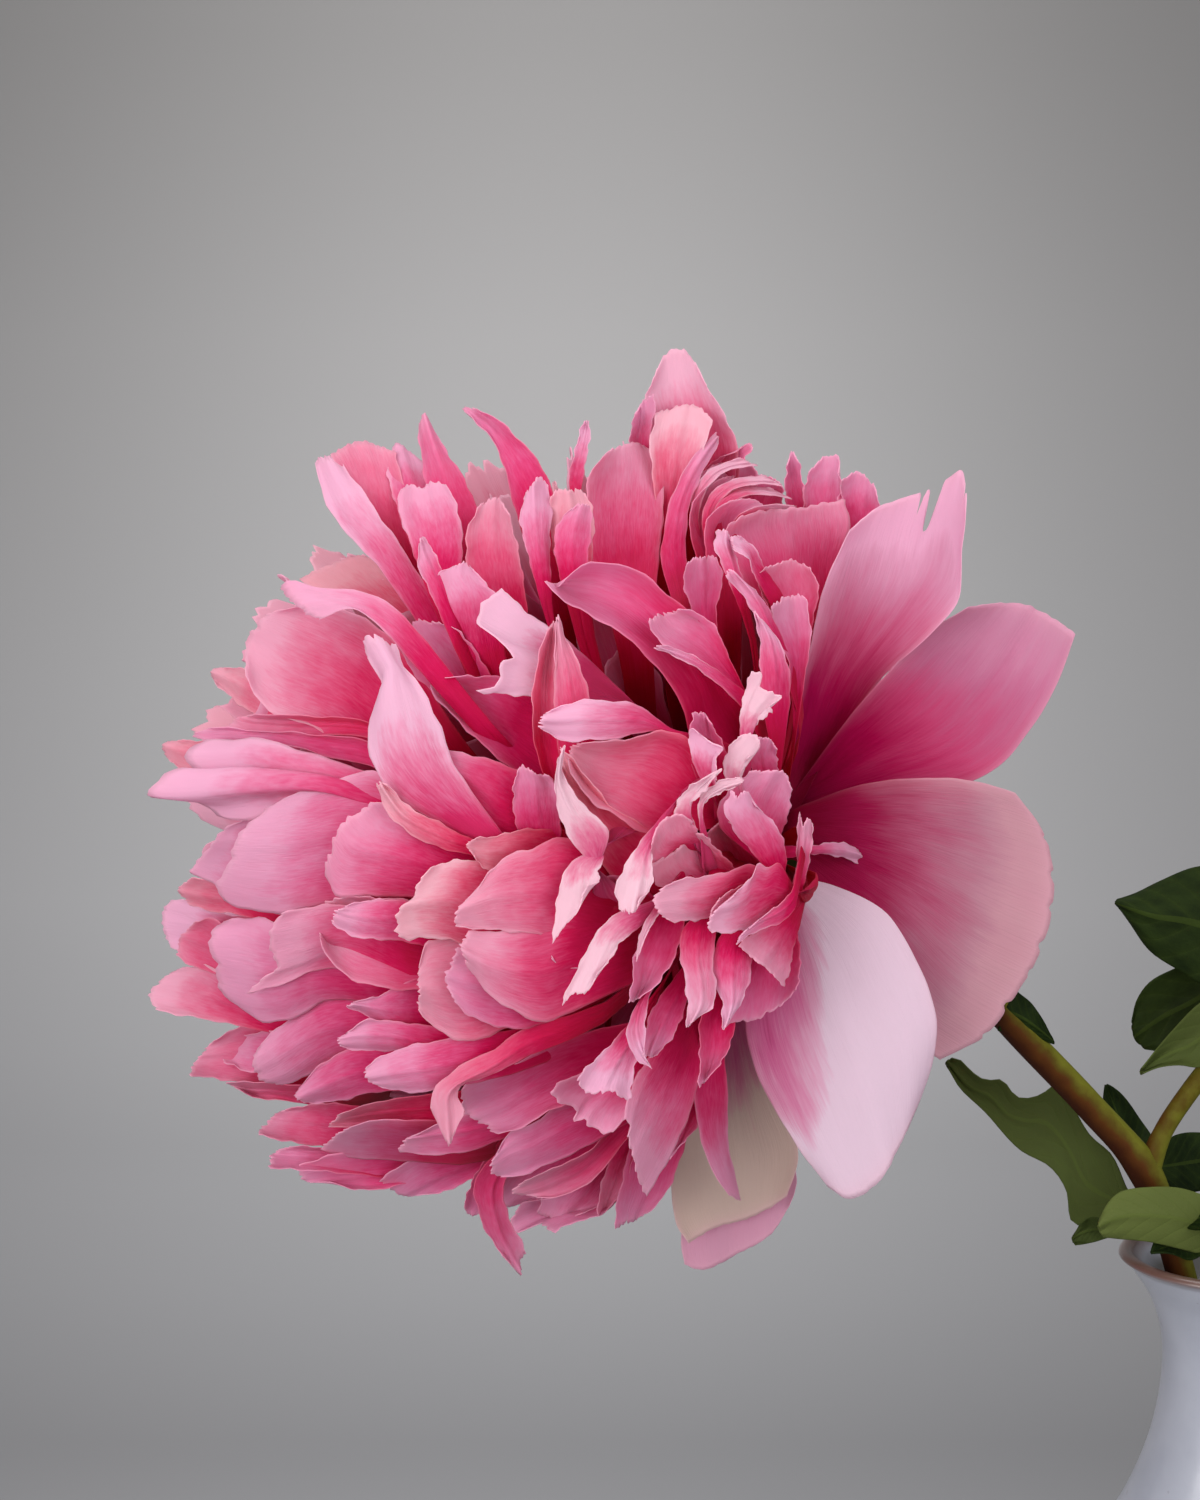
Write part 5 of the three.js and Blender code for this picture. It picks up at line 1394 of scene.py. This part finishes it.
# The backdrop's grey, with painted light and shade, by its place on a ramp that climbs with height and with
# the way back to the wall.
WALL_GREYS_AND_PAINTED_SHADE = [(0.0, 0.36), (0.13, 0.33), (0.225, 0.225), (0.27, 0.305), (0.31, 0.36), (0.38, 0.42),
              (0.46, 0.465), (0.58, 0.475), (0.79, 0.47), (0.87, 0.445), (0.96, 0.42)]
LOW_HUE = np.array([0.965, 0.985, 1.035])
HIGH_HUE = np.array([1.0, 0.997, 0.985])
PAINTED_LIGHT_SHIFT = 0.03                   # the painted pool of light on the backdrop is brightest this far left of the camera
LIGHTS = [
    dict(name="key", place=(-1.0, -1.1, 0.8), size=1.2, watts=13.0, colour=(1.0, 0.98, 0.96)),
    dict(name="fill", place=(0.7, -1.2, 0.5), size=1.2, watts=10.5, colour=(0.98, 0.97, 0.98)),
    dict(name="top", place=(-0.1, 0.3, 1.3), size=1.0, watts=8.0, colour=(1.0, 1.0, 1.0)),
    dict(name="low", place=(-0.6, -0.8, 0.1), size=0.8, watts=4.0, colour=(1.0, 0.95, 0.97)),
]
LIGHTS_AIM = (-0.1, 0.0, 0.2)
ROOM_COLOUR = (0.95, 0.92, 0.93, 1)
ROOM_STRENGTH = 0.75


def sweep_paint():
    """Grey by height with painted light and shade: a painted pool of light behind the bloom, painted shade
    to both sides, and faint clouds.
    """
    n = Nodes("sweep_paint")
    place = n.place()
    x, y, z = n.parts(place)
    rise = n.plus(n.times(z, 0.53), n.times(n.minus(y, WALL), 0.27))
    level = n.ramp(n.plus(rise, 0.6), [
        (spot, tuple(grey * (LOW_HUE + (HIGH_HUE - LOW_HUE) * spot))) for spot, grey in WALL_GREYS_AND_PAINTED_SHADE])
    # Painted shade: the backdrop darkens to both sides of the painted pool of light behind the bloom.
    spread = n.larger(n.plus(n.times(y, 0.13), 0.3), 0.2)
    aside = n.math("DIVIDE", n.minus(x, EYE[0] * MM - PAINTED_LIGHT_SHIFT), spread)
    painted_light_pool = n.math("EXPONENT", n.times(n.times(aside, aside), -1.4))
    tint = n.blend(n.times(n.minus(1.0, painted_light_pool), 0.5), level, (0.0, 0.0, 0.0))
    tint = n.blend(n.times(n.noise(place, 1.2, 2.0), 0.08), tint, (0.30, 0.30, 0.30))
    return n.finish(n.surface(tint, {"Roughness": 0.9, "Specular IOR Level": 0.1}))


def studio():
    """A floor that sweeps up into a backdrop, soft light from the left, and the photograph's camera."""
    section = [(SWEEP_FRONT, 0.0), (WALL - BEND, 0.0)]
    section += [(WALL - BEND + BEND * math.sin(turn), BEND - BEND * math.cos(turn))
                for turn in np.linspace(0.05, math.pi / 2, 24)]
    section.append((WALL, SWEEP_TOP))
    vertices = [(x, y, z) for y, z in section for x in (-SWEEP_HALF_WIDTH, SWEEP_HALF_WIDTH)]
    faces = [(2 * row, 2 * row + 1, 2 * row + 3, 2 * row + 2) for row in range(len(section) - 1)]
    sweep = smooth_solid("sweep", vertices, faces, sweep_paint())

    for row in LIGHTS:
        light = bpy.data.lights.new(row["name"], "AREA")
        light.shape, light.size, light.energy, light.color = "DISK", row["size"], row["watts"], row["colour"]
        lamp = linked(row["name"], light)
        lamp.location = row["place"]
        aim = Vector(LIGHTS_AIM) - lamp.location
        lamp.rotation_euler = aim.to_track_quat("-Z", "Y").to_euler()
        lamp.visible_camera = False

    world = bpy.data.worlds.new("room")
    world.use_nodes = True
    background = world.node_tree.nodes["Background"]
    background.inputs[0].default_value = ROOM_COLOUR
    background.inputs[1].default_value = ROOM_STRENGTH
    bpy.context.scene.world = world

    camera = linked("camera", bpy.data.cameras.new("camera"))
    camera.data.lens, camera.data.sensor_width = LENS, SENSOR
    camera.location = EYE * MM
    camera.rotation_euler = (math.pi / 2 - TILT, 0, 0)
    bpy.context.scene.camera = camera
    bpy.context.scene.view_settings.view_transform = "Standard"


# ---- Build ----
ball_petal_material = petal_material("ball_petal", BALL_COOL, BALL_WARM, 0.22)
guard_petal_material = petal_material("guard_petal", GUARD_COOL, GUARD_WARM, 0.13)
leaf_green = leaf_material("leaf_green", (0.003, 0.008, 0.002), (0.014, 0.026, 0.005))
sepal_green = leaf_material("sepal_green", (0.03, 0.05, 0.012), (0.08, 0.12, 0.03))

seen_petals(ball_petal_material)
filling_petals(ball_petal_material)
hidden_petals(ball_petal_material)
guard_petals(guard_petal_material)
receptacle(sepal_green)
calyx_piece(sepal_green)
stem_pieces(stem_material("stalk", 0.2), stem_material("side_stalk", 0.42))
leaf_pieces(leaf_green)
vase_piece(glaze_material())
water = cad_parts["water"]
water.data.materials.clear()
water.data.materials.append(water_material())

studio()
